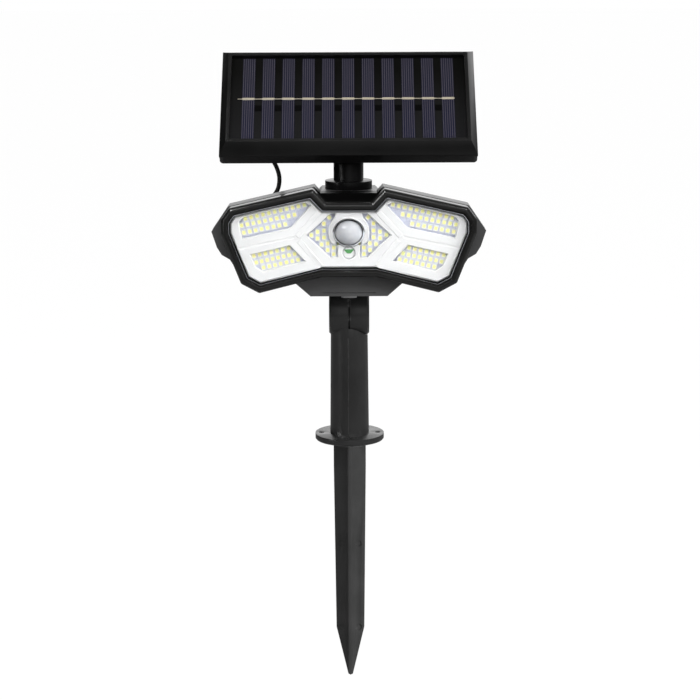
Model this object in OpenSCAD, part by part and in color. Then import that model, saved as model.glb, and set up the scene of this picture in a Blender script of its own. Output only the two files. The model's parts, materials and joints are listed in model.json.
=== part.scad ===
// Solar garden light on a ground spike, with a three-zone LED head, a motion sensor and a tilting
// solar panel. The origin is the centre of the flange's underside, which rests on the ground.
// +Z is up and the lamp faces -Y. All sizes are in millimetres.

/* [Ground spike] */
// Depth of the tip below the ground
spike_depth = 146.4; // [130:0.2:165]
// Half width of the crossed blades at their top
blade_half = 9.4; // [8.8:0.1:9.6]
// Thickness of one blade
blade_t = 2.4; // [2:0.1:3]
// Height of the pointed end
point_h = 30.6; // [24:0.2:40]

/* [Tube and flange] */
// Diameter of the ground flange
flange_d = 40; // [39:0.5:44]
// Thickness of the ground flange
flange_t = 3.6; // [2.6:0.1:4]
// Diameter of the circle through the flange's screw holes
screw_circle_d = 32.8; // [31:0.2:34]
// Diameter of the flange's screw holes
screw_hole_d = 3; // [2.5:0.1:4]
// Diameter of the tube just above the flange
tube_d = 22.6; // [21.6:0.1:23]
// Diameter of the tube at its top
tube_top_d = 21.4; // [20.8:0.1:21.6]
// Wall of the tube
tube_wall = 2.3; // [1.8:0.1:2.6]

/* [Tilt knuckle] */
// Height of the knuckle's axis above the ground
knuckle_z = 75.3; // [74.9:0.1:75.3]
// Radius of the knuckle's two half barrels
knuckle_r = 13; // [12.5:0.1:13]
// Width of the whole knuckle
knuckle_w = 23; // [22.4:0.2:24]
// Thickness of the rubber disc between the two halves
disc_t = 0.9; // [0.6:0.1:1.2]

/* [Lamp head] */
// Front face of the bezel
bezel_front = -34; // [-34.4:0.1:-33.8]
// Wall of the housing
wall = 2.4; // [2:0.1:2.6]
// Width of one LED package
led_w = 2.8; // [2.4:0.1:2.8]
// Height of one LED package
led_h = 3.5; // [3:0.1:3.5]
// Radius of the motion sensor's dome at its foot
dome_r = 7.8; // [7.4:0.1:7.8]
// How far the dome stands out from its flange
dome_h = 5.2; // [4.6:0.1:7]
// Diameter of the battery cell
cell_d = 18.4; // [17.8:0.1:18.6]
// Length of the battery cell
cell_len = 65.2; // [60:0.2:65.4]

/* [Swivel post] */
// Diameter of the swivel ring
ring_d = 26.7; // [25:0.1:28]
// Diameter of the column
column_d = 17; // [16.6:0.1:17]
// Height of the panel's pivot
pivot_z = 165; // [164.6:0.1:166]

/* [Solar panel] */
// Lean of the panel back from upright, in degrees
panel_lean = 43.3; // [30:0.1:80]
// Width of the panel's frame
panel_w = 144.5; // [143:0.5:146]
// Height of the panel's frame along its slope
panel_h = 74.7; // [74:0.1:76]
// Number of cell strips
cell_count = 11; // [8:1:11]
// Distance from one strip to the next
cell_pitch = 11.3; // [10.5:0.1:11.4]
// Width of one strip
strip_w = 7.1; // [6:0.1:8]

/* [Cable] */
// Diameter of the cable between the panel and the lamp head
cable_d = 2.5; // [2:0.1:3]

/* [Hidden] */
$fn = 96;
eps = 0.01;

// ---- Outlines of the lamp head, left half, clockwise from the bottom, as [x, z] ----
bezel_half = [[-15.2, 100.9], [-50.2, 92], [-60.3, 97.4], [-71.1, 124.9], [-71, 133.3],
    [-66.2, 139.8], [-19.9, 150.3], [-12.7, 142.7]];
housing_half = [[-21.7, 88.6], [-31.3, 97], [-50.2, 92], [-60.3, 97.4], [-65, 106.8],
    [-66.9, 109.8], [-71.3, 112.4], [-74, 116.7], [-76.9, 125.6], [-67.2, 139.8],
    [-19.2, 150.7], [-15.8, 147]];
hump_half = [[-21, 88.6], [-36, 102], [-36, 126], [-15.2, 147]];
upper_window = [[-61, 130.4], [-60.8, 132.2], [-58.6, 134.6], [-24.9, 142.7], [-21.4, 140.9],
    [-32, 129.2], [-34.1, 128.2], [-59.1, 122.7]];
lower_window = [[-52, 106.6], [-54.9, 113.6], [-32.9, 118.6], [-24.6, 109.9], [-48, 104.2]];
centre_window = [[-6.3, 111.9], [-10.1, 111.9], [-23.4, 124.3], [-10.2, 136.4], [-6.3, 136.6]];
disc_r = 11.5;                // white disc round the dome, which bounds the middle windows

// Depths in the lamp head, along Y
rim_chamfer = 1.6;            // chamfer round the bezel's front
ledge_y = -33;                // ledge inside the raised rim
lens_y = -31.5;               // seat of the lens cover
lens_front_y = -33.6;         // front face of the lens cover
reflector_y = [-31.3, -28.7];
board_y = [-28.6, -27];
joint_y = -24;                // where the bezel meets the rear housing
wing_back_y = -10;
hump_back_y = 15;
lens_inset = 4.3;             // edge of the lens opening, in from the bezel's edge
tray_inset = 5.3;             // edge of the reflector and the LED board
seal_inset = [0.9, 1.9];      // the seal's two edges
boss_inset = 3.4;             // centres of the housing screws

// Floor and roof of the rear housing
floor_z = 88.6;
roof_z = 147;
pir_z = 125.9;                // centre of the motion sensor
light_z = 114.5;              // centre of the light sensor
button_y = -19;
button_w = 8.7;
button_d = 4;
cell_z = 112;
cell_y = 2;
board2_y = -16.6;             // front of the control board
tray_screws = [[-41, 121.7], [41, 121.7], [-17.5, 112], [17.5, 112]];
peep = [6.3, 119.8, 1.1];     // small opening under the dome's ring, each side: x, z and radius
sensor_window_r = 3.6;        // round opening in front of the light sensor
dome_bore_r = dome_r + 0.95;  // bore for the dome's ring in the reflector and the lens cover

// Tilt knuckle's bolt
knuckle_chamfer = 1;
bolt_r = 2.5;
bolt_bore_r = 2.55;
head_r = 4.5;
head_bore_r = 4.8;
nut_r = 4.6;
nut_h = 3.6;

// Bracket in the floor of the housing
bracket_t = 2;
bracket_z = floor_z + wall + 0.05;
bracket_w = 34;
bracket_d = 20;
neck_x = [1, 10.5];
neck_d = 16;
bracket_screw_at = [[-14, -7.5], [-14, 7.5], [14, -7.5], [14, 7.5]];

// Rubber glands at the two ends of the cable
gland_hole_r = 2.55;
gland_plug_r = 2.5;
gland_flange = [4.2, 1.5];    // radius and thickness
gland_taper_r = [2, 3];
hump_side_x = -36;

// Panel levels above the pivot, measured square to the panel
back_level = 9.1;
wall_level = back_level + 7.2;
rim_level = wall_level + 6;
laminate_level = rim_level - 2.6;
panel_up = 25.7;              // from the pivot up the slope to the panel's centre
slope_in = [3.8, 5.4];        // the sloped border's width at the sides, and at the top and bottom
rim_w = 1.9;
cover_t = 2.2;
window_w = panel_w - 2 * (slope_in[0] + rim_w);
window_h = panel_h - 2 * (slope_in[1] + rim_w);
cover_w = panel_w - 5;
cover_h = panel_h - 5;
panel_screw_at = [[-64, -29.5], [64, -29.5], [-64, 29.5], [64, 29.5]];
gland_at = [-44, 26];         // the panel's gland, across and up from the pivot

// Cable route, from the lamp head's gland up to the panel's gland
route_lower = [[-44, 3, 112], [-47.5, 3, 112], [-51.5, 3.1, 112.6], [-54.6, 3.6, 115.4],
    [-55.8, 4.5, 120.3], [-54.6, 5.4, 126], [-51.8, 6.4, 131.5], [-48, 7.4, 136.5],
    [-43.8, 8.4, 140.8], [-40.9, 9.2, 144.8], [-39.8, 9.7, 149], [-39.9, 10, 153.3],
    [-41.2, 10.2, 157.7]];
route_upper = [[-41.2, 10.2, 157.7], [-42.9, 12, 161], [-43.5, 14, 164.6], [-43.8, 16, 168.6],
    [-43.9, 17.8, 172.8], [-44, 19.2, 176.8], [-44, 19.8, 180.2], [-44, 18.7, 183.1],
    [-44, 16.67, 185.02]];

// ---- Helpers ----
function whole(half) = concat(half, [for (i = [len(half) - 1:-1:0]) [-half[i][0], half[i][1]]]);
function mirrored(outline) = [for (i = [len(outline) - 1:-1:0]) [-outline[i][0], outline[i][1]]];
function unit(v) = v / norm(v);
function inward(a, b) = let (d = unit(b - a)) [d[1], -d[0]];
// Moves every edge of a clockwise outline inward by d, with mitred corners
function inset(p, d) = [for (i = [0:len(p) - 1])
    let (n1 = inward(p[(i + len(p) - 1) % len(p)], p[i]), n2 = inward(p[i], p[(i + 1) % len(p)]))
    p[i] + d * (n1 + n2) / (1 + n1 * n2)];
function between(a, b, count) = [for (i = [0:count - 1]) a + (b - a) * i / (count - 1)];

bezel_outline = whole(bezel_half);
housing_outline = whole(housing_half);
hump_outline = whole(hump_half);

// An [x, z] outline as a slab from y0 to y1
module slab(outline, y0, y1) {
    translate([0, y1, 0]) rotate([90, 0, 0]) linear_extrude(y1 - y0) polygon(outline);
}

// A solid through [outline, y] stages, whose [x, z] outlines have the same number of points
module loft(stages) {
    n = len(stages[0][0]);
    last = len(stages) - 1;
    polyhedron(
        points = [for (s = stages, p = s[0]) [p[0], s[1], p[1]]],
        faces = concat([[for (i = [0:n - 1]) i]],
            [[for (i = [n - 1:-1:0]) last * n + i]],
            [for (k = [0:last - 1], i = [0:n - 1])
                [k * n + i, (k + 1) * n + i, (k + 1) * n + (i + 1) % n, k * n + (i + 1) % n]]));
}

// A round bar along X from x0 to x1, at a given y and z
module bar_x(x0, x1, r, y = 0, z = 0) {
    translate([x0, y, z]) rotate([0, 90, 0]) cylinder(r = r, h = x1 - x0);
}

// A round bar along Y from y0 to y1, at a given x and z
module bar_y(y0, y1, r, x = 0, z = 0) {
    translate([x, y1, z]) rotate([90, 0, 0]) cylinder(r = r, h = y1 - y0);
}

// A long hole or button: w by d with round ends, from z0 to z1, at a given y
module obround(w, d, y, z0, z1) {
    translate([0, y, z0]) {
        translate([-(w - d) / 2, -d / 2, 0]) cube([w - d, d, z1 - z0]);
        for (s = [-1, 1]) translate([s * (w - d) / 2, 0, 0]) cylinder(d = d, h = z1 - z0);
    }
}

// The corners of the bezel that take a housing screw
function screw_corners(in) = let (p = inset(bezel_outline, in))
    [for (i = [1, 4, 6, 9, 11, 14]) p[i]];

// ---- Spike, tube and flange ----
module blade_outline() {
    tip_half = 1.4;
    low_half = blade_half - 1.1;
    polygon([[-blade_half, -3.3], [-blade_half, -16], [-low_half, point_h - spike_depth],
        [-tip_half, 1 - spike_depth], [0, -spike_depth], [tip_half, 1 - spike_depth],
        [low_half, point_h - spike_depth], [blade_half, -16], [blade_half, -3.3]]);
}

module ground_spike() {
    dimple_r = 1.9;
    dimple_x = 5;
    collar_r = 9.4;
    plug_r = tube_d / 2 - tube_wall - 0.1;
    color([0.16, 0.16, 0.17]) difference() {
        union() {
            for (a = [0, 90]) rotate([0, 0, a]) translate([0, blade_t / 2, 0]) rotate([90, 0, 0])
                linear_extrude(blade_t) blade_outline();
            translate([0, 0, -3.4]) cylinder(r = collar_r, h = 2.1);
            translate([0, 0, -1.4]) cylinder(r = plug_r, h = 21.4);
        }
        for (a = [0, 90, 180, 270], x = [-dimple_x, dimple_x], z = [-64, -116]) rotate([0, 0, a])
            bar_y(-blade_t, 0.5 - blade_t / 2, dimple_r, x, z);
    }
}

module mounting_tube() {
    boss_r = 11;
    edge = 0.7;
    taper_top = 62;
    socket_top = 20.5;
    stop = disc_t / 2;
    outer_x = knuckle_w / 2;
    color([0.17, 0.17, 0.18]) difference() {
        union() {
            cylinder(d1 = flange_d - 1.2, d2 = flange_d, h = edge);
            translate([0, 0, edge - eps]) cylinder(d = flange_d, h = flange_t - edge + eps);
            translate([0, 0, -1.2]) cylinder(r = boss_r, h = 1.2 + eps);
            translate([0, 0, flange_t - eps])
                cylinder(d1 = tube_d, d2 = tube_top_d, h = taper_top - flange_t);
            translate([0, 0, taper_top - 1]) cylinder(d = tube_top_d, h = knuckle_z - taper_top + 1);
            bar_x(-outer_x + knuckle_chamfer, -stop, knuckle_r, 0, knuckle_z);
            translate([-outer_x, 0, knuckle_z]) rotate([0, 90, 0])
                cylinder(r1 = knuckle_r - knuckle_chamfer, r2 = knuckle_r, h = knuckle_chamfer + eps);
        }
        // Saddle that clears the head's half of the knuckle
        bar_x(-stop, 20, knuckle_r + 0.4, 0, knuckle_z);
        translate([-stop, -20, knuckle_z - 5]) cube([40, 40, 40]);
        // Hollow of the tube, open below for the spike's plug
        translate([0, 0, -5]) cylinder(r = tube_d / 2 - tube_wall, h = socket_top + 5);
        translate([0, 0, socket_top - 0.5]) cylinder(r = tube_top_d / 2 - tube_wall, h = 38);
        // Bolt hole and the nut's pocket
        bar_x(-20, 0, bolt_bore_r, 0, knuckle_z);
        bar_x(-20, -outer_x + nut_h + 0.6, head_bore_r + eps, 0, knuckle_z);
        for (a = [0:90:270]) rotate([0, 0, a]) translate([screw_circle_d / 2, 0, -1])
            cylinder(d = screw_hole_d, h = flange_t + 2);
    }
}

module tilt_bolt() {
    color([0.72, 0.72, 0.74]) difference() {
        union() {
            bar_x(-11, 8, bolt_r, 0, knuckle_z);
            bar_x(7.6, 11, head_r, 0, knuckle_z);
        }
        bar_x(10, 12, 1.3, 0, knuckle_z);
    }
}

module tilt_nut() {
    color([0.72, 0.72, 0.74]) difference() {
        translate([-11, 0, knuckle_z]) rotate([0, 90, 0]) cylinder(r = nut_r, h = nut_h, $fn = 6);
        bar_x(-12, 0, bolt_r + 0.02, 0, knuckle_z);
    }
}

module friction_disc() {
    color([0.08, 0.08, 0.08]) difference() {
        bar_x(0.02 - disc_t / 2, disc_t / 2 - 0.02, knuckle_r - 1, 0, knuckle_z);
        bar_x(-1, 1, bolt_bore_r + 0.05, 0, knuckle_z);
    }
}

// ---- Lamp head: bracket and housing ----
module bracket_screw_holes(r, z0, z1) {
    for (p = bracket_screw_at) translate([p[0], p[1], z0]) cylinder(r = r, h = z1 - z0);
}

module head_bracket() {
    outer_x = knuckle_w / 2;
    color([0.15, 0.15, 0.16]) difference() {
        union() {
            bar_x(disc_t / 2, outer_x - knuckle_chamfer, knuckle_r, 0, knuckle_z);
            translate([outer_x - knuckle_chamfer - eps, 0, knuckle_z]) rotate([0, 90, 0])
                cylinder(r1 = knuckle_r, r2 = knuckle_r - knuckle_chamfer, h = knuckle_chamfer + eps);
            translate([neck_x[0], -neck_d / 2, knuckle_z])
                cube([neck_x[1] - neck_x[0], neck_d, bracket_z + 1 - knuckle_z]);
            translate([-bracket_w / 2, -bracket_d / 2, bracket_z]) cube([bracket_w, bracket_d, bracket_t]);
        }
        bar_x(-1, 20, bolt_bore_r, 0, knuckle_z);
        bar_x(7.5, 20, head_bore_r, 0, knuckle_z);
        bracket_screw_holes(1.3, floor_z, floor_z + 10);
    }
}

module bracket_screws() {
    plate_top = bracket_z + bracket_t;
    color([0.72, 0.72, 0.74]) {
        bracket_screw_holes(1.1, floor_z + 0.8, plate_top + 0.5);
        bracket_screw_holes(2, plate_top, plate_top + 1.4);
    }
}

module rear_housing() {
    step_d = 1.6;
    gap = 0.2;
    gland_y = route_lower[0][1];
    color([0.13, 0.13, 0.14]) difference() {
        union() {
            slab(housing_outline, joint_y, wing_back_y);
            slab(hump_outline, wing_back_y - 6, hump_back_y - step_d);
            slab(inset(hump_outline, 1.8), hump_back_y - step_d - 1, hump_back_y);
        }
        difference() {
            union() {
                slab(inset(bezel_outline, 2.6), joint_y - 1, wing_back_y - wall);
                slab(inset(hump_outline, wall), joint_y + wall, hump_back_y - wall);
            }
            for (p = screw_corners(boss_inset)) bar_y(joint_y - 2, wing_back_y, 2.7, p[0], p[1]);
        }
        // Half of the seal's groove
        difference() {
            slab(inset(bezel_outline, seal_inset[0] - 0.05), joint_y - 1, joint_y + 0.5);
            slab(inset(bezel_outline, seal_inset[1] + 0.05), joint_y - 2, joint_y + 1);
        }
        for (p = screw_corners(boss_inset)) {
            bar_y(joint_y - 1, 0, 1.1, p[0], p[1]);
            bar_y(wing_back_y - 8, 0, 1.8, p[0], p[1]);
        }
        // Swivel bore in the roof
        translate([0, 0, roof_z - 6]) cylinder(r = 6.05, h = 12);
        // Button, bracket neck and bracket screws in the floor
        obround(button_w + 0.4, button_d + 0.4, button_y, floor_z - 1, floor_z + wall + 1);
        translate([neck_x[0] - gap, -neck_d / 2 - gap, floor_z - 1])
            cube([neck_x[1] - neck_x[0] + 2 * gap, neck_d + 2 * gap, wall + 2]);
        bracket_screw_holes(1.15, floor_z + 0.6, floor_z + wall + 1);
        // Gland in the side of the hump
        bar_x(-45, -30, gland_hole_r, gland_y, cell_z);
        // Fine groove across the chin
        translate([-15, joint_y - 1, 90.2]) cube([30, 1.5, 0.6]);
    }
}

module housing_seal() {
    color([0.3, 0.3, 0.32]) difference() {
        slab(inset(bezel_outline, seal_inset[0]), joint_y - 0.45, joint_y + 0.45);
        slab(inset(bezel_outline, seal_inset[1]), joint_y - 1, joint_y + 1);
    }
}

module housing_screws() {
    color([0.72, 0.72, 0.74]) for (p = screw_corners(boss_inset)) {
        bar_y(joint_y - 5, wing_back_y - 7.9, 0.95, p[0], p[1]);
        bar_y(wing_back_y - 8, wing_back_y - 6.6, 1.6, p[0], p[1]);
    }
}

module front_bezel() {
    chamfer_y = bezel_front + rim_chamfer;
    color([0.1, 0.1, 0.11]) difference() {
        loft([[inset(bezel_outline, rim_chamfer), bezel_front], [bezel_outline, chamfer_y],
            [bezel_outline, joint_y]]);
        slab(inset(bezel_outline, 3.3), bezel_front - 1, ledge_y);
        slab(inset(bezel_outline, lens_inset), bezel_front - 1, lens_y);
        slab(inset(bezel_outline, 5.1), bezel_front, joint_y + 1);
        // Deeper wall behind the lens, with bosses for the housing screws
        difference() {
            slab(inset(bezel_outline, 2.6), lens_y + 1.2, joint_y + 1);
            for (p = screw_corners(boss_inset)) bar_y(lens_y, joint_y + 2, 1.75, p[0], p[1]);
        }
        difference() {
            slab(inset(bezel_outline, seal_inset[0] - 0.05), joint_y - 0.5, joint_y + 1);
            slab(inset(bezel_outline, seal_inset[1] + 0.05), joint_y - 1, joint_y + 2);
        }
        for (p = screw_corners(boss_inset)) bar_y(joint_y - 5.5, joint_y + 1, 1, p[0], p[1]);
    }
}

// ---- Lamp head: optics and electronics ----
module lens_cover() {
    color([0.9, 0.95, 1, 0.3]) difference() {
        slab(inset(bezel_outline, lens_inset + 0.12), lens_front_y, lens_y);
        bar_y(-40, -20, dome_bore_r, 0, pir_z);
    }
}

// The tray stands on its skirt and on four bosses, so that its face clears the LED packages
module reflector() {
    flare = 0.6;
    skirt = 0.9;
    face_back = reflector_y[1] - skirt;
    color([0.95, 0.95, 0.95]) difference() {
        union() {
            difference() {
                slab(inset(bezel_outline, tray_inset), reflector_y[0], face_back);
                for (w = [upper_window, lower_window, centre_window], o = [w, mirrored(w)])
                    loft([[o, reflector_y[0] - eps], [inset(o, flare), face_back + eps]]);
            }
            bar_y(reflector_y[0], face_back, disc_r, 0, pir_z);
            difference() {
                slab(inset(bezel_outline, tray_inset), face_back - eps, reflector_y[1]);
                slab(inset(bezel_outline, tray_inset + 0.6), face_back - 1, reflector_y[1] + 1);
            }
            for (p = tray_screws) bar_y(face_back - eps, reflector_y[1], 2.2, p[0], p[1]);
        }
        bar_y(-40, -20, dome_bore_r, 0, pir_z);
        bar_y(-40, -20, sensor_window_r, 0, light_z);
        for (s = [-1, 1]) bar_y(-40, -20, peep[2], s * peep[0], peep[1]);
        for (p = tray_screws) bar_y(reflector_y[0] + 0.6, -20, 0.85, p[0], p[1]);
    }
}

module led_board() {
    color([0.8, 0.82, 0.9]) difference() {
        slab(inset(bezel_outline, tray_inset + 0.3), board_y[0], board_y[1]);
        for (p = tray_screws) bar_y(-40, -20, 1.1, p[0], p[1]);
    }
}

// LED packages at each [x, z], turned by an angle
module leds(places, angle) {
    lift = 0.8;
    for (p = places) translate([p[0], board_y[0] - lift / 2, p[1]]) rotate([0, -angle, 0])
        cube([led_w, lift, led_h], center = true);
}

upper_rows = concat(between([-57.5, 133.7], [-24.6, 141.3], 11),
    between([-59.6, 129.9], [-30.1, 135.8], 10), between([-58.4, 125.9], [-35.3, 130.5], 8));
lower_rows = concat(between([-53, 112.8], [-33.6, 117], 7),
    between([-51.7, 109.1], [-30.3, 113.8], 8), between([-47.7, 106.2], [-28.4, 110.5], 7));
centre_spots = [[-13.8, 130.7], [-13.8, 126.8], [-13.8, 123], [-17.4, 126.1], [-17.4, 122.5],
    [-20.9, 124.3], [-15.2, 119.1], [-11.8, 119.6], [-11.8, 115.9], [-8.4, 117.2], [-8.4, 113.6],
    [-5.5, 119.3]];
row_angle = 13;                 // the LED rows climb towards the middle

module leds_upper_left() {
    color([0.98, 0.95, 0.55]) leds(upper_rows, row_angle);
}

module leds_upper_right() {
    color([0.98, 0.95, 0.55]) leds(mirrored(upper_rows), -row_angle);
}

module leds_lower_left() {
    color([0.98, 0.95, 0.55]) leds(lower_rows, row_angle);
}

module leds_lower_right() {
    color([0.98, 0.95, 0.55]) leds(mirrored(lower_rows), -row_angle);
}

module leds_centre() {
    color([0.98, 0.95, 0.55]) {
        leds(concat(centre_spots, mirrored(centre_spots)), 0);
        leds([[-10.9, 134.2]], 45);
        leds([[10.9, 134.2]], -45);
    }
}

module board_screws() {
    color([0.72, 0.72, 0.74]) for (p = tray_screws) {
        bar_y(reflector_y[0] + 0.9, board_y[1] + 0.1, 0.8, p[0], p[1]);
        bar_y(board_y[1], board_y[1] + 1.2, 1.7, p[0], p[1]);
    }
}

module pir_sensor() {
    color([0.78, 0.76, 0.7]) difference() {
        union() {
            bar_y(board_y[0] - 3.8, board_y[0] - 0.02, 4.1, 0, pir_z);
            bar_y(board_y[0] - 0.6, board_y[0] - 0.02, 4.6, 0, pir_z);
        }
        translate([-2, board_y[0] - 5, pir_z - 1.5]) cube([4, 1.5, 3]);
    }
}

// Half section of a round cap, from its tip to its foot, as [radius, height]
function cap(foot_r, height) =
    let (r = (foot_r * foot_r + height * height) / (2 * height), a = asin(foot_r / r), n = 12)
    [for (i = [0:n]) [r * sin(a * i / n), r * cos(a * i / n) - r + height]];

module pir_dome() {
    skin = 0.8;
    lip = 0.8;
    inner = cap(dome_r - skin, dome_h - skin);
    color([0.86, 0.86, 0.86]) translate([0, lens_y - 0.1, pir_z]) rotate([90, 0, 0]) rotate_extrude()
        polygon(concat(cap(dome_r, dome_h), [[dome_r + lip, 0], [dome_r + lip, -lip],
            [dome_r - skin, -lip]], [for (i = [len(inner) - 1:-1:0]) inner[i]]));
}

module pir_collar() {
    color([0.2, 0.2, 0.2]) difference() {
        bar_y(lens_front_y - 1, lens_y - 0.15, dome_r + 0.85, 0, pir_z);
        bar_y(lens_front_y - 2, lens_y + 1, dome_r + 0.05, 0, pir_z);
    }
}

module light_sensor() {
    color([0.7, 0.85, 0.7]) {
        bar_y(board_y[0] - 1.6, board_y[0] - 0.02, 2.5, 0, light_z);
        bar_y(board_y[0] - 2.2, board_y[0] - 1.5, 1.6, 0, light_z);
    }
}

module control_board() {
    color([0.1, 0.4, 0.2]) difference() {
        union() {
            translate([-25, board2_y, 96]) cube([50, 1.6, 23.2]);
            translate([-18, board2_y - 1.4, 106]) cube([6, 1.5, 4]);
            translate([8, board2_y - 1.2, 104]) cube([5, 1.3, 5]);
            bar_y(board2_y + 1.5, board2_y + 6.5, 2.5, -18, 103);
        }
        for (x = [-22.5, 22.5], z = [98.3, 117]) bar_y(-20, 0, 1, x, z);
    }
}

module mode_switch() {
    low_z = 94.4;
    color([0.25, 0.25, 0.26]) difference() {
        translate([-3.2, -21.2, low_z]) cube([6.4, board2_y + 21.2, 4]);
        translate([0, button_y, low_z - 1]) cylinder(r = 1.3, h = 4);
    }
}

module switch_plunger() {
    color([0.85, 0.85, 0.85]) translate([0, button_y, floor_z + wall + 1.1])
        cylinder(r = 1.2, h = 3.4);
}

module mode_button() {
    proud = 1.5;
    lip_z = floor_z + wall + 0.1;
    color([0.65, 0.65, 0.66]) {
        obround(button_w, button_d, button_y, floor_z - proud, lip_z + eps);
        obround(button_w + 2, button_d + 0.9, button_y, lip_z, lip_z + 1);
    }
}

module battery_cradle() {
    half_x = 33.4;
    back_y = hump_back_y - wall - 0.1;
    color([0.2, 0.2, 0.22]) difference() {
        intersection() {
            translate([-half_x, cell_y - 1, cell_z - 10.4])
                cube([2 * half_x, back_y - cell_y + 1, 20.8]);
            slab(inset(hump_outline, wall + 0.2), cell_y - 2, back_y + 1);
        }
        bar_x(-cell_len / 2 - 0.3, cell_len / 2 + 0.3, cell_d / 2 + 0.1, cell_y, cell_z);
        bar_x(-40, 40, 5, cell_y - 1, cell_z);
    }
}

module battery_cell() {
    color([0.2, 0.45, 0.75]) {
        bar_x(-cell_len / 2, cell_len / 2 - 1.2, cell_d / 2, cell_y, cell_z);
        bar_x(cell_len / 2 - 1.3, cell_len / 2, 3, cell_y, cell_z);
    }
}

module head_gland() {
    start = route_lower[0];
    color([0.1, 0.1, 0.1]) translate([0, start[1], start[2]]) rotate([0, 90, 0]) {
        translate([0, 0, start[0]]) cylinder(r1 = gland_taper_r[0], r2 = gland_taper_r[1],
            h = hump_side_x - gland_flange[1] - start[0]);
        translate([0, 0, hump_side_x - gland_flange[1] - eps])
            cylinder(r = gland_flange[0], h = gland_flange[1]);
        translate([0, 0, hump_side_x - 0.1]) cylinder(r = gland_plug_r, h = 3.5);
    }
}

// ---- Swivel post between the head and the panel ----
module swivel_post() {
    column_r = column_d / 2;
    slot_half = 4.2;
    color([0.12, 0.12, 0.13]) difference() {
        union() {
            translate([0, 0, roof_z - 2.6]) cylinder(r = 6, h = 3);
            translate([0, 0, roof_z + 0.05]) cylinder(d = ring_d, h = 4.45);
            intersection() {
                translate([0, 0, roof_z + 1]) cylinder(r = column_r, h = 40);
                union() {
                    bar_x(-20, 20, column_r, 0, pivot_z);
                    translate([-20, -column_r, roof_z]) cube([40, 2 * column_r, pivot_z - roof_z]);
                }
            }
        }
        // Slot for the panel's lug, with room for it to swing
        translate([slot_half, 0, pivot_z]) rotate([0, -90, 0]) linear_extrude(2 * slot_half) {
            circle(r = 5.6);
            polygon([[-1.8, -10], [-5, -2.3], [0, 5.6], [12, 5.6], [12, -10]]);
        }
        bar_x(-20, 20, 1.52, 0, pivot_z);
        bar_x(6.2, 20, 3, 0, pivot_z);
        translate([-20, 0, pivot_z]) rotate([0, 90, 0]) cylinder(r = 3.2, h = 20 - 6.2, $fn = 6);
        translate([0, 0, roof_z - 5]) cylinder(r = 2.02, h = 14);
    }
}

module swivel_screw() {
    color([0.72, 0.72, 0.74]) {
        translate([0, 0, roof_z - 6]) cylinder(r = 4, h = 2.2);
        translate([0, 0, roof_z - 4]) cylinder(r = 2, h = 12);
    }
}

module swivel_washer() {
    color([0.6, 0.6, 0.62]) difference() {
        translate([0, 0, roof_z - 3.75]) cylinder(r = 9, h = 1.1);
        translate([0, 0, roof_z - 5]) cylinder(r = 2.1, h = 4);
    }
}

module pivot_bolt() {
    color([0.72, 0.72, 0.74]) difference() {
        union() {
            bar_x(-7.6, 6.4, 1.5, 0, pivot_z);
            bar_x(6.25, 8.2, 2.8, 0, pivot_z);
        }
        bar_x(7.4, 9, 0.9, 0, pivot_z);
    }
}

module pivot_nut() {
    color([0.72, 0.72, 0.74]) difference() {
        translate([-8, 0, pivot_z]) rotate([0, 90, 0]) cylinder(r = 3.1, h = 1.75, $fn = 6);
        bar_x(-10, -6, 1.53, 0, pivot_z);
    }
}

// ---- Solar panel, drawn flat with the pivot at the origin ----
module on_panel() {
    translate([0, 0, pivot_z]) rotate([90 - panel_lean, 0, 0]) children();
}

// A block centred on the panel, w by h, between two levels
module plate(w, h, low, high) {
    translate([-w / 2, panel_up - h / 2, low]) cube([w, h, high - low]);
}

module panel_frame() {
    corner_r = 2.2;
    color([0.05, 0.05, 0.06]) on_panel() difference() {
        union() {
            // Outer wall with rounded upright corners
            hull() for (x = [-1, 1], y = [-1, 1])
                translate([x * (panel_w / 2 - corner_r), panel_up + y * (panel_h / 2 - corner_r),
                    back_level]) cylinder(r = corner_r, h = wall_level - 1.2 - back_level, $fn = 32);
            hull() {
                plate(panel_w, panel_h, wall_level - 1.6, wall_level);
                plate(window_w + 2 * rim_w, window_h + 2 * rim_w, rim_level - eps, rim_level);
            }
        }
        plate(window_w, window_h, back_level, rim_level + 1);
        plate(window_w + 2.4, window_h + 2.4, back_level, laminate_level);
        difference() {
            plate(cover_w, cover_h, back_level - 1, wall_level);
            for (p = panel_screw_at) translate([p[0], panel_up + p[1], back_level])
                cylinder(r = 3.4, h = 12);
        }
        plate(cover_w, cover_h, back_level - 1, back_level + cover_t + 0.05);
        for (p = panel_screw_at) translate([p[0], panel_up + p[1], back_level])
            cylinder(r = 1, h = wall_level - back_level - 0.5);
    }
}

module panel_back_cover() {
    lug_half = 4;
    lug_r = 5.2;
    color([0.08, 0.08, 0.09]) on_panel() difference() {
        union() {
            plate(cover_w - 0.4, cover_h - 0.4, back_level, back_level + cover_t);
            bar_x(-lug_half, lug_half, lug_r);
            translate([-lug_half, -5, 0]) cube([2 * lug_half, 10, back_level + 1]);
            // Stiffening ribs inside the cover
            for (x = [-40, 0, 40]) translate([x - 0.8, panel_up - 28, back_level + cover_t - eps])
                cube([1.6, 56, 2]);
        }
        bar_x(-20, 20, 1.55);
        for (p = panel_screw_at) translate([p[0], panel_up + p[1], back_level - 1]) {
            cylinder(r = 1.2, h = 5);
            cylinder(r = 2.2, h = 2.1);
        }
        translate([gland_at[0], gland_at[1], back_level - 1]) cylinder(r = gland_hole_r, h = 5);
    }
}

module panel_screws() {
    color([0.72, 0.72, 0.74]) on_panel() for (p = panel_screw_at)
        translate([p[0], panel_up + p[1], 0]) {
            translate([0, 0, back_level - 0.1]) cylinder(r = 2, h = 1.2);
            translate([0, 0, back_level + 1]) cylinder(r = 0.95, h = 5);
        }
}

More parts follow.
